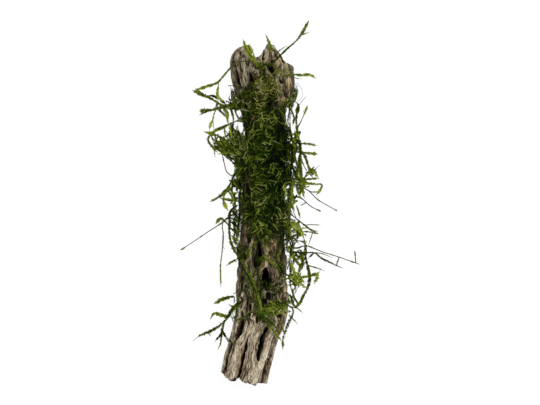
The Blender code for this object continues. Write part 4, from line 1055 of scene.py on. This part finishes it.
def leaves(points, ups, radii, sizes, fresh, count, rng):
    """Two rows of small pointed leaves along each strand, each a thin closed blade."""
    strands, marks = sizes.shape
    at = (np.arange(count) + 0.5) / count + rng.uniform(-0.4, 0.4, (strands, count)) / count
    at = np.clip(at, 0, 1) * (marks - 1.001)
    low = at.astype(int)
    share = at - low
    ahead = unit(np.gradient(points, axis=1))
    spot, way = pick(points, low, share), unit(pick(ahead, low, share))
    up = pick(ups, low, share)
    across = unit(np.cross(way, up))
    up = np.cross(across, way)
    side = np.where(np.arange(count) % 2, 1.0, -1.0) * np.ones((strands, 1))
    length = pick(sizes, low, share) * rng.uniform(0.75, 1.15, (strands, count))
    slant = np.radians(rng.normal(LEAF_SLANT, SLANT_SPREAD, (strands, count)))
    lift = rng.normal(0.12, 0.22, (strands, count))
    out = unit(way * np.cos(slant)[..., None] + across * (side * np.sin(slant))[..., None]
               + up * lift[..., None])
    top = unit(up - out * np.sum(up * out, -1, keepdims=True))
    wide = np.cross(out, top)
    base = spot + across * (side * pick(radii, low, share) * 0.5)[..., None]
    length = length[..., None]
    half = LEAF_HALF_WIDTH * length + 0.02
    tip = base + out * length - top * LEAF_DROOP * length
    left = base + out * LEAF_WIDEST * length + wide * half + top * LEAF_CURL * length
    right = base + out * LEAF_WIDEST * length - wide * half + top * LEAF_CURL * length
    kept = (length[..., 0] > SHORTEST_LEAF).ravel()
    corners = np.stack([base, tip, left, right], 2).reshape(-1, 4, 3)[kept]
    tone = pick(fresh, low, share) + rng.normal(0, 0.11, (strands, count))
    tone = np.stack([tone - 0.16, tone + 0.13, tone, tone], -1).reshape(-1, 4)[kept]
    first = np.arange(len(corners))[:, None, None] * 4
    faces = first + np.array([[0, 1, 2], [0, 3, 1], [0, 2, 3], [2, 1, 3]])
    return corners.reshape(-1, 3), faces.reshape(-1, 3), tone.ravel()


class Sheaf:
    """Strands gathered for one piece."""

    def __init__(self):
        self.points, self.faces, self.smooth, self.fresh, self.count = [], [], [], [], 0

    def add(self, made, smooth):
        points, faces, fresh = made
        self.points.append(points)
        self.faces.append(faces + self.count)
        self.smooth.append(np.full(len(faces), smooth))
        self.fresh.append(fresh)
        self.count += len(points)

    def strands(self, points, ups, radii, sizes, fresh, old, spacing, sides, rng):
        """Stems with leaves on them; old is how much less fresh the stem is than its leaves."""
        self.add(tubes(points, ups, radii, fresh - old, sides), True)
        length = np.linalg.norm(np.diff(points, axis=1), axis=-1).sum(1).mean()
        count = max(2, int(length / spacing * 2))
        self.add(leaves(points, ups, radii, sizes, fresh, count, rng), False)

    def make(self, name):
        points = np.concatenate(self.points)
        points[:, 2] = np.maximum(points[:, 2], 0.03)
        return make_mesh(name, points, np.concatenate(self.faces), np.concatenate(self.smooth),
                         {"fresh": np.concatenate(self.fresh), "cool": cool_share(points),
                          "brown": brown_share(points)})


def spread_strands(sheaf, points, ups, t, sizes, fresh, spacing, rng):
    """Fine strands of one kind; each is turned a little about its own length."""
    twist = rng.normal(0, 0.4, len(points))[:, None, None]
    ups = unit(ups + twist * np.roll(ups, 1, axis=2))
    radii = STRAND_RADIUS * (1 - 0.5 * t) * np.ones((len(points), 1))
    sizes = sizes * np.clip(6 * (1.02 - t), 0.4, 1) * (1 - 0.3 * brown_share(points))
    fresh = fresh * clumps(points) - 0.2 * cool_share(points)
    kept = ~in_gap(points).any(1)
    sheaf.strands(points[kept], ups[kept], radii[kept], sizes[kept], fresh[kept], 0.1, spacing, 3,
                  rng)


def wander(across, down, marks, shortest, longest, spread, rng):
    """Bent courses over a surface, as (arc, fall) in millimetres from their middles.

    Neighbours run much the same way, and that way drifts over the plan grid.
    """
    count = len(across)
    drift = noise(COURSE_NOISE, across / 16.0, down / 22.0) - 0.5
    stray = rng.random(count) < 0.15
    heading = radians(90) + 3.4 * drift + rng.normal(0, spread, count) + 1.6 * stray
    span = rng.uniform(shortest, longest, count)
    t = np.linspace(0, 1, marks)[None, :]
    bend = rng.normal(0, 0.7, count)[:, None] * t + 0.25 * np.sin(
        t * rng.uniform(4, 8, count)[:, None] + rng.uniform(0, 6, count)[:, None])
    course = heading[:, None] + bend
    step = (span / (marks - 1))[:, None]
    arc, fall = np.cumsum(np.cos(course) * step, 1), np.cumsum(np.sin(course) * step, 1)
    return t, arc - arc.mean(1, keepdims=True), fall - fall.mean(1, keepdims=True)


def add_mat(sheaf, column, row, rng):
    """Tangled fine strands that hug the log and fill a cushion."""
    from_angle, to_angle = column
    from_down, to_down, rise = row
    for count, shortest, longest, leaf, spacing, low, high, dark, light in MAT_LAYERS:
        order = np.arange(count)
        across_share = (order * GOLDEN_SHARE + rng.random()) % 1
        down_share = (order + rng.random(count)) / count
        down = from_down + (to_down - from_down) * down_share
        angle = from_angle + (to_angle - from_angle) * across_share
        t, arc, fall = wander(angle / 2.6, down, STRAND_MARKS, shortest, longest, 0.55, rng)
        down = np.clip(down[:, None] + fall / STEP, from_down - 4, to_down + 4)
        radius = log_section(down)[3]
        angle = angle[:, None]
        angle = np.clip(angle + np.degrees(arc / (radius + 1)), from_angle - 4, to_angle + 4)
        u = np.clip((angle - from_angle) / (to_angle - from_angle), 0, 1)
        v = np.clip((down - from_down) / (to_down - from_down), 0, 1)
        swell = 0.4 + 0.6 * (np.sin(pi * u) * np.sin(pi * v)).clip(0, 1) ** 0.4
        layer = rng.uniform(low, high, count)[:, None] * (0.6 + 0.4 * np.sin(pi * (0.1 + 0.8 * t)))
        thin = thin_share(on_log(angle, down, radius)[0])
        reach = radius + STRUT_SWELL + 0.1 + CUSHION_RISE * rise * swell * layer * (1 - 0.8 * thin)
        points, ups = on_log(angle, down, reach)
        # Strands of the deep layers are dark as painted shade; their tips are fresher
        fresh = dark + (light - dark) * rng.random((count, 1)) ** 2 + 0.12 * t ** 2
        dry = (rng.random((count, 1)) < DRY_SHARE) & (low > 0)
        fresh = np.where(dry, DRY_FRESH, fresh * (1 - 0.4 * thin))
        sizes = leaf * rng.uniform(0.7, 1.15, (count, 1)) * (1 - 0.6 * thin)
        kept = rng.random(count) > (thin * (np.abs(angle) < 80)).mean(1)
        spread_strands(sheaf, points[kept], ups[kept], t, sizes[kept], fresh[kept], spacing, rng)


def add_escapes(sheaf, count, column, row, rng):
    """Strands that bow out of the mat beside the log, and come back to it or hang down."""
    outer = -1 if column[0] < -90 else 1
    down = rng.uniform(row[0] + 4, row[1] - 4, count)
    t, arc, fall = wander(np.zeros(count), down, ESCAPE_MARKS, *ESCAPE_LENGTHS, 0.4, rng)
    down = np.clip(down[:, None] + fall / STEP, row[0] - 8, row[1] + 8)
    start = rng.uniform(*ESCAPE_ANGLES, count)[:, None]
    angle = outer * (start + rng.uniform(-8, 22, count)[:, None] * t)
    far = rng.uniform(*ESCAPE_BOWS, count)[:, None] * np.where(
        rng.random((count, 1)) < 0.6, np.sin(pi * t), t ** 1.3)
    points, ups = on_log(angle, down, log_section(down)[3] + 1.2 + far)
    fresh = rng.uniform(0.2, 0.5, (count, 1)) + 0.1 * t
    sizes = rng.uniform(0.6, 0.95, (count, 1)) * np.ones_like(t)
    spread_strands(sheaf, points, ups, t, sizes, fresh, LEAF_GAP, rng)


def add_patch(sheaf, patch, strands, rng):
    """Strands over an oval in plan: they lie on the log, and beside it they hang at its flank."""
    across, down, wide, tall, count, bright = patch
    shortest, longest, leaf, spacing = strands
    way, off = rng.uniform(0, 2 * pi, count), np.sqrt(rng.random(count))
    across, down = across + wide * off * np.cos(way), down + tall * off * np.sin(way)
    t, arc, fall = wander(across, down, STRAND_MARKS, shortest, longest, 0.6, rng)
    across = across[:, None] + arc / STEP * min(1, wide / 5.0)
    down = down[:, None] + fall / STEP * min(1, tall / 6.0)
    points = np.stack([(across - ORIGIN_ACROSS) * STEP, (ORIGIN_DOWN - down) * STEP,
                       np.zeros_like(across)], -1)
    layer = rng.random((count, 1))
    surface, middle = over_log(points, 0.1 + 1.1 * layer * np.sin(pi * (0.1 + 0.8 * t)))
    points[..., 2] = np.maximum(surface, middle + rng.uniform(-2.5, 5.0, (count, 1)))
    ups = np.zeros_like(points)
    ups[..., 2] = 1.0
    # Patches set at 1.2 give pale specks: partly dry strands, partly painted highlights
    fresh = bright + 0.56 * rng.random((count, 1)) ** 2 + 0.12 * t ** 2
    fresh = np.where(rng.random((count, 1)) < DRY_SHARE, DRY_FRESH, fresh)
    sizes = leaf * rng.uniform(0.7, 1.2, (count, 1)) * np.ones_like(t)
    kept = crack_share(points).max(1) < 0.9
    spread_strands(sheaf, points[kept], ups[kept], t, sizes[kept], fresh[kept], spacing, rng)


def build_cushion(name, column, row, seed, looks):
    escapes, patches, loose_patches = CUSHIONS[name]
    node = "moss_cushion_" + name
    rng = np.random.default_rng(seed)
    sheaf = Sheaf()
    add_mat(sheaf, column, row, rng)
    if escapes:
        add_escapes(sheaf, escapes, column, row, rng)
    for patch in patches:
        add_patch(sheaf, patch, PATCH_STRANDS, rng)
    for patch in loose_patches:
        add_patch(sheaf, patch, LOOSE_STRANDS, rng)
    add_piece(sheaf.make(node + "_strands"), node, looks)


def smooth_route(route):
    """Places at an even gap along a smooth curve through the places of a route, in millimetres."""
    points = (np.array(route, float) - (ORIGIN_ACROSS, ORIGIN_DOWN)) * (STEP, -STEP)
    dense = []
    for at in range(len(points) - 1):
        before, low, high = points[max(at - 1, 0)], points[at], points[at + 1]
        after = points[min(at + 2, len(points) - 1)]
        t = np.linspace(0, 1, 24, endpoint=False)[:, None]
        dense.append(0.5 * (2 * low + (high - before) * t
                            + (2 * before - 5 * low + 4 * high - after) * t ** 2
                            + (3 * low - before - 3 * high + after) * t ** 3))
    dense = np.concatenate(dense + [points[-1:]])
    lengths = run_of(dense)
    wanted = np.linspace(0, lengths[-1], max(4, round(lengths[-1] / ROUTE_GAP) + 1))
    return np.stack([np.interp(wanted, lengths, dense[:, k]) for k in range(2)], -1)


def run_of(points):
    """How far along its line each point is."""
    return np.concatenate([[0], np.cumsum(np.linalg.norm(np.diff(points, axis=0), axis=1))])


def soften(heights):
    return np.convolve(np.pad(heights, 2, mode="edge"), SOFTEN, mode="valid")


def lie_in(node, places):
    """Heights of the middle of a node's solid at places in plan."""
    mesh = nodes[node].data
    mesh.calc_loop_triangles()
    tree = BVHTree.FromPolygons([v.co for v in mesh.vertices],
                                [list(t.vertices) for t in mesh.loop_triangles])
    heights = []
    for x, y in places * MM:
        top = tree.ray_cast(Vector((x, y, 0.1)), Vector((0, 0, -1)))[0]
        low = tree.ray_cast(Vector((x, y, -0.1)), Vector((0, 0, 1)))[0]
        heights.append(np.nan if top is None else (top.z + low.z) / 2 / MM)
    heights = np.array(heights)
    known = ~np.isnan(heights)
    marks = np.arange(len(heights))
    return soften(np.interp(marks, marks[known], heights[known]))


def shoot(sheaf, points, size, radius, fresh, rng, spacing=LEAF_GAP, along=None):
    """One leafy shoot along points: its leaves come in tufts and get shorter at both its ends."""
    run = run_of(points)
    points = points[None]
    t = np.linspace(0, 1, points.shape[1])[None, :]
    ahead = unit(np.gradient(points, axis=1))
    flat = unit(np.cross(ahead, np.array([0, 0, 1.0])))
    turned = (0.35 * np.sin(run / 5.0 + rng.uniform(0, 6)))[None, :, None]
    ups = unit(np.cross(flat, ahead) * np.cos(turned) + flat * np.sin(turned))
    tufts = 0.78 + 0.32 * np.abs(np.sin(run / 0.9 + rng.uniform(0, 6) + np.sin(run / 2.9)))
    slow = 0.85 + 0.2 * np.sin(run / 3.1 + rng.uniform(0, 6))
    ends = np.clip((run[-1] - run) / 2.4, 0.3, 1)
    grown = np.clip(0.45 + run / 14.0, 0, 1) if along is None else np.interp(t[0], *zip(*along))
    sizes = (size * tufts * slow * ends * grown)[None]
    tones = fresh - 0.1 + 0.22 * t ** 1.4
    sheaf.strands(points, ups, radius * (1 - 0.5 * t), sizes, tones, 0.16, spacing, 5, rng)


def wiry_shoot(sheaf, points, rng):
    """An old bare stem, which has only a few tufts of small leaves left."""
    run = np.arange(len(points)) * ROUTE_GAP
    off_tuft = np.abs((run + rng.uniform(0, 9)) % TUFT_PITCH - TUFT_PITCH / 2)
    tufted = fade(off_tuft / TUFT_REACH)[None]
    ups = np.broadcast_to(np.array([0.0, 0.0, 1.0]), (1, len(points), 3))
    radii = (WIRY_RADIUS - WIRY_TAPER * run / run[-1])[None]
    sheaf.strands(points[None], ups, radii, 0.5 * tufted, 0.22 + 0.35 * tufted, 0.1, LEAF_GAP, 5, rng)


def sprout(points, at, side, length, rng):
    """A short side shoot from a mark on a stem."""
    ahead = unit(np.gradient(points, axis=0))[at]
    flat = unit(np.cross(ahead, np.array([0, 0, 1.0])))
    t = np.linspace(0, 1, max(5, int(length / ROUTE_GAP)))[:, None]
    lean = np.radians(rng.uniform(25, 50))
    way = ahead * np.cos(lean) + side * flat * np.sin(lean)
    curl = unit(way + ahead * 0.5)
    moved = points[at] + length * t * (way * (1 - 0.4 * t) + curl * 0.4 * t)
    moved[:, 2] += rng.uniform(-0.4, 0.4) * t[:, 0]
    return moved


def twig_points(route, stem_points):
    """A twig in plan: it leaves its stem at the stem's height and sinks, but not into the log."""
    places = smooth_route(route)
    nearest = np.argmin(np.linalg.norm(stem_points[:, :2] - places[0], axis=1))
    run = np.linspace(0, 1, len(places)) * np.linalg.norm(np.diff(places, axis=0), axis=1).sum()
    heights = np.maximum(LOWEST_TWIG, stem_points[nearest, 2] - TWIG_SINK * run)
    points = np.concatenate([places, heights[:, None]], 1)
    points[:, 2] = soften(np.maximum(heights, over_log(points, TWIG_LIFT)[0]))
    points[0] = stem_points[nearest]
    return points


def build_stem(name, seed, leafy, wiry):
    size, bright, routes, twigs = STEMS[name]
    bare = size == 0
    node = "moss_stem_" + name
    rng = np.random.default_rng(seed)
    sheaf = Sheaf()
    stem_points = []
    for order, route in enumerate(routes):
        places = smooth_route(route)
        points = np.concatenate([places, lie_in(node, places)[:, None]], 1)
        stem_points.append(points)
        if bare:
            wiry_shoot(sheaf, points, rng)
            continue
        shoot(sheaf, points, size, STEM_RADIUS, bright + 0.2 * min(order, 1), rng,
              FERNY_GAP if name in FERNY_STEMS else LEAF_GAP, SIZE_ALONG.get((name, order)))
        at, side = int(rng.uniform(*FIRST_SPROUT)), rng.choice([-1, 1])
        while at < len(points) - SPROUT_FREE:
            side_shoot = sprout(points, at, side, rng.uniform(*SPROUT_LENGTHS), rng)
            shoot(sheaf, side_shoot, SPROUT_SIZE * size, SPROUT_RADIUS, bright + 0.1, rng)
            at, side = at + int(rng.uniform(*SPROUT_PITCH)), -side
    for leaf, route in twigs:
        shoot(sheaf, twig_points(route, np.concatenate(stem_points)), leaf, TWIG_RADIUS,
              bright + rng.uniform(-0.2, 0.14), rng, TWIG_GAP, TWIG_ALONG)
    add_piece(sheaf.make(node + "_leafy"), node,
              wiry if bare else leafy)


# Materials

def linear(colour):
    """A colour written in the usual 0 to 255 numbers, as the renderer's linear light."""
    shares = np.array(colour) / 255.0
    light = np.where(shares < 0.04045, shares / 12.92, ((shares + 0.055) / 1.055) ** 2.4)
    return tuple(light) + (1.0,)


class Looks:
    """A material; each method adds a node to it and gives the socket of the result."""

    def __init__(self, name):
        self.made = bpy.data.materials.new(name)
        self.made.use_nodes = True
        self.tree = self.made.node_tree
        self.shader = self.tree.nodes["Principled BSDF"]

    def feed(self, node, inputs):
        """Link a node's inputs to sockets, or set them to numbers and colours."""
        for key, value in inputs.items():
            if isinstance(value, bpy.types.NodeSocket):
                self.tree.links.new(value, node.inputs[key])
            else:
                node.inputs[key].default_value = value

    def node(self, kind, inputs, **settings):
        made = self.tree.nodes.new(kind)
        for key, value in settings.items():
            setattr(made, key, value)
        self.feed(made, inputs)
        return made

    def field(self, name, output="Fac"):
        return self.node("ShaderNodeAttribute", {}, attribute_name=name).outputs[output]

    def stretch(self, places, scale):
        return self.node("ShaderNodeMapping", {"Vector": places, "Scale": scale}).outputs[0]

    def noise(self, places, detail, roughness=0.5, scale=1.0):
        return self.node("ShaderNodeTexNoise", {"Vector": places, "Scale": scale, "Detail": detail,
                                                "Roughness": roughness}).outputs[0]

    def maths(self, operation, first, second, clamp=False):
        return self.node("ShaderNodeMath", {0: first, 1: second}, operation=operation,
                         use_clamp=clamp).outputs[0]

    def add(self, first, second, clamp=False):
        return self.maths("ADD", first, second, clamp)

    def less(self, first, second, clamp=False):
        return self.maths("SUBTRACT", first, second, clamp)

    def times(self, first, second):
        return self.maths("MULTIPLY", first, second)

    def ramp(self, fac, stops):
        made = self.node("ShaderNodeValToRGB", {"Fac": fac})
        bar = made.color_ramp
        while len(bar.elements) < len(stops):
            bar.elements.new(0.5)
        for element, (place, colour) in zip(bar.elements, stops):
            element.position = place
            element.color = linear(colour)
        return made.outputs["Color"]

    def mix(self, fac, first, second, blend="MIX"):
        return self.node("ShaderNodeMix", {0: fac, 6: first, 7: second}, data_type="RGBA",
                         blend_type=blend).outputs[2]

    def bump(self, height, strength, distance):
        return self.node("ShaderNodeBump", {"Height": height, "Strength": strength,
                                            "Distance": distance}).outputs[0]


def wood_looks():
    looks = Looks("weathered_cholla")
    grain = looks.field("grain", "Vector")
    fibres = looks.noise(looks.stretch(grain, (2.4, 0.22, 0.8)), 5.0, 0.62)
    specks = looks.noise(looks.stretch(grain, (1.9, 1.3, 1.3)), 3.0, 0.75)
    blotches = looks.noise(looks.stretch(grain, (0.16, 0.08, 0.2)), 2.0)
    pits = looks.noise(looks.stretch(grain, (2.0, 0.4, 1.0)), 1.0, 0.6)
    # The tone follows the relief, lower being darker; the bore and the lips are lowered further as
    # painted shade
    tone = looks.add(looks.times(fibres, 0.56), looks.times(looks.field("relief"), 0.42))
    tone = looks.add(tone, looks.times(specks, 0.34))
    tone = looks.add(tone, looks.times(looks.less(pits, 0.48), 0.7))
    dry = looks.ramp(tone, [(0.2, (30, 22, 14)), (0.34, (88, 74, 56)), (0.46, (150, 136, 114)),
                            (0.58, (204, 194, 172)), (0.74, (236, 230, 214))])
    warm = looks.mix(looks.times(blotches, 0.5), dry, linear((172, 156, 132)), "MULTIPLY")
    damp = looks.ramp(tone, [(0.2, (6, 6, 2)), (0.4, (34, 32, 9)), (0.55, (78, 73, 28)),
                             (0.75, (138, 128, 70))])
    colour = looks.mix(looks.field("damp"), warm, damp)
    torn = looks.ramp(tone, [(0.3, (54, 40, 26)), (0.5, (152, 124, 88)), (0.68, (212, 190, 150))])
    colour = looks.mix(looks.times(looks.field("torn"), 0.85), colour, torn)
    # Painted shade: the wood darkens with the painted shade field, in the bore, on the lips, at the
    # openings' rims, in the cracks and under the mats
    painted_shade_tint = looks.ramp(looks.field("painted_shade"), [
        (0.12, (255, 255, 255)), (0.34, (170, 156, 136)), (0.62, (62, 52, 40)), (0.9, (16, 12, 8))])
    looks.feed(looks.shader, {
        "Base Color": looks.mix(1.0, colour, painted_shade_tint, "MULTIPLY"),
        "Roughness": looks.less(0.86, looks.times(looks.field("damp"), 0.2)),
        "Specular IOR Level": 0.15,
        "Normal": looks.bump(tone, 0.8, 0.00035)})
    return looks.made


def moss_looks(name, stops, gloss, brownness):
    looks = Looks(name)
    places = looks.node("ShaderNodeTexCoord", {}).outputs["Object"]
    patches = looks.noise(places, 2.0, scale=420.0)
    cells = looks.noise(places, 1.0, scale=3500.0)
    # The fresh value runs from painted shade deep in the mat to fresh moss; above 1 it gives pale
    # specks, partly dry strands and partly painted highlights
    fresh = looks.add(looks.field("fresh"), looks.times(looks.less(patches, 0.5), 0.25))
    fresh = looks.add(fresh, looks.times(looks.less(cells, 0.5), 0.2))
    brown = looks.add(looks.times(looks.less(patches, 0.5), 1.6),
                      looks.times(looks.field("brown"), brownness), clamp=True)
    green = looks.ramp(fresh, stops)
    green = looks.mix(brown, green, looks.mix(1.0, green, linear(OLIVE_TINT), "MULTIPLY"))
    cool = looks.mix(1.0, green, linear(COOL_TINT), "MULTIPLY")
    shaded = looks.less(1.1, fresh, clamp=True)
    looks.feed(looks.shader, {
        "Base Color": looks.mix(looks.times(looks.field("cool"), shaded), green, cool),
        "Roughness": looks.add(gloss, looks.times(cells, 0.25)),
        "Specular IOR Level": 0.03,
        "Normal": looks.bump(cells, 0.3, 0.0001)})
    return looks.made


def build_all():
    add_piece(build_log(), "cholla_log", wood_looks())
    matted = moss_looks("matted_moss_strands", MATTED_GREENS, 0.4, 0.6)
    leafy = moss_looks("fresh_moss_leaves", GREENS, 0.45, 0.0)
    wiry = moss_looks("old_moss_stems", WIRY_GREENS, 0.5, 0.3)
    seed = 20
    for row_name, *row in CUSHION_ROWS:
        for column_name, *column in CUSHION_COLUMNS:
            seed += 1
            build_cushion(row_name + "_" + column_name, column, row, seed, matted)
    for name in STEMS:
        seed += 1
        build_stem(name, seed, leafy, wiry)


def set_stage():
    """A white floor, a bright soft room, two large lamps, and a camera that looks straight down."""
    scene = bpy.context.scene
    scene.view_settings.view_transform = "Standard"
    world = bpy.data.worlds.new("soft_room")
    world.use_nodes = True
    room = world.node_tree.nodes["Background"].inputs
    room["Color"].default_value = (1.0, 1.0, 1.0, 1.0)
    room["Strength"].default_value = ROOM_LIGHT
    scene.world = world

    mesh = bpy.data.meshes.new("floor")
    corners = [(-FLOOR_HALF, -FLOOR_HALF, 0), (FLOOR_HALF, -FLOOR_HALF, 0),
               (FLOOR_HALF, FLOOR_HALF, 0), (-FLOOR_HALF, FLOOR_HALF, 0)]
    mesh.from_pydata(corners, [], [(0, 1, 2, 3)])
    paper = Looks("white_paper")
    paper.feed(paper.shader, {
        "Base Color": (FLOOR_TONE, FLOOR_TONE, FLOOR_TONE, 1.0), "Roughness": 0.9,
        "Specular IOR Level": 0.1, "Emission Color": (1.0, 1.0, 1.0, 1.0),
        "Emission Strength": FLOOR_GLOW})
    mesh.materials.append(paper.made)
    floor = bpy.data.objects.new("floor", mesh)
    scene.collection.objects.link(floor)

    for name, place, size, power in LAMPS:
        light = bpy.data.lights.new(name, "AREA")
        light.size = size
        light.energy = power
        lamp = bpy.data.objects.new(name, light)
        lamp.location = place
        lamp.rotation_euler = (-Vector(place)).to_track_quat("-Z", "Y").to_euler()
        scene.collection.objects.link(lamp)

    camera = bpy.data.objects.new("camera", bpy.data.cameras.new("camera"))
    camera.data.sensor_width = SENSOR_WIDTH
    camera.data.lens = SENSOR_WIDTH / 2 / (VIEW_WIDTH * STEP * MM / 2 / CAMERA_DISTANCE)
    camera.data.clip_end = 10.0
    camera.location = (0.0, (ORIGIN_DOWN - VIEW_MIDDLE_DOWN) * STEP * MM,
                       CAMERA_DISTANCE + CAMERA_LEVEL)
    scene.collection.objects.link(camera)
    scene.camera = camera


build_all()
set_stage()

bpy.context.view_layer.update()
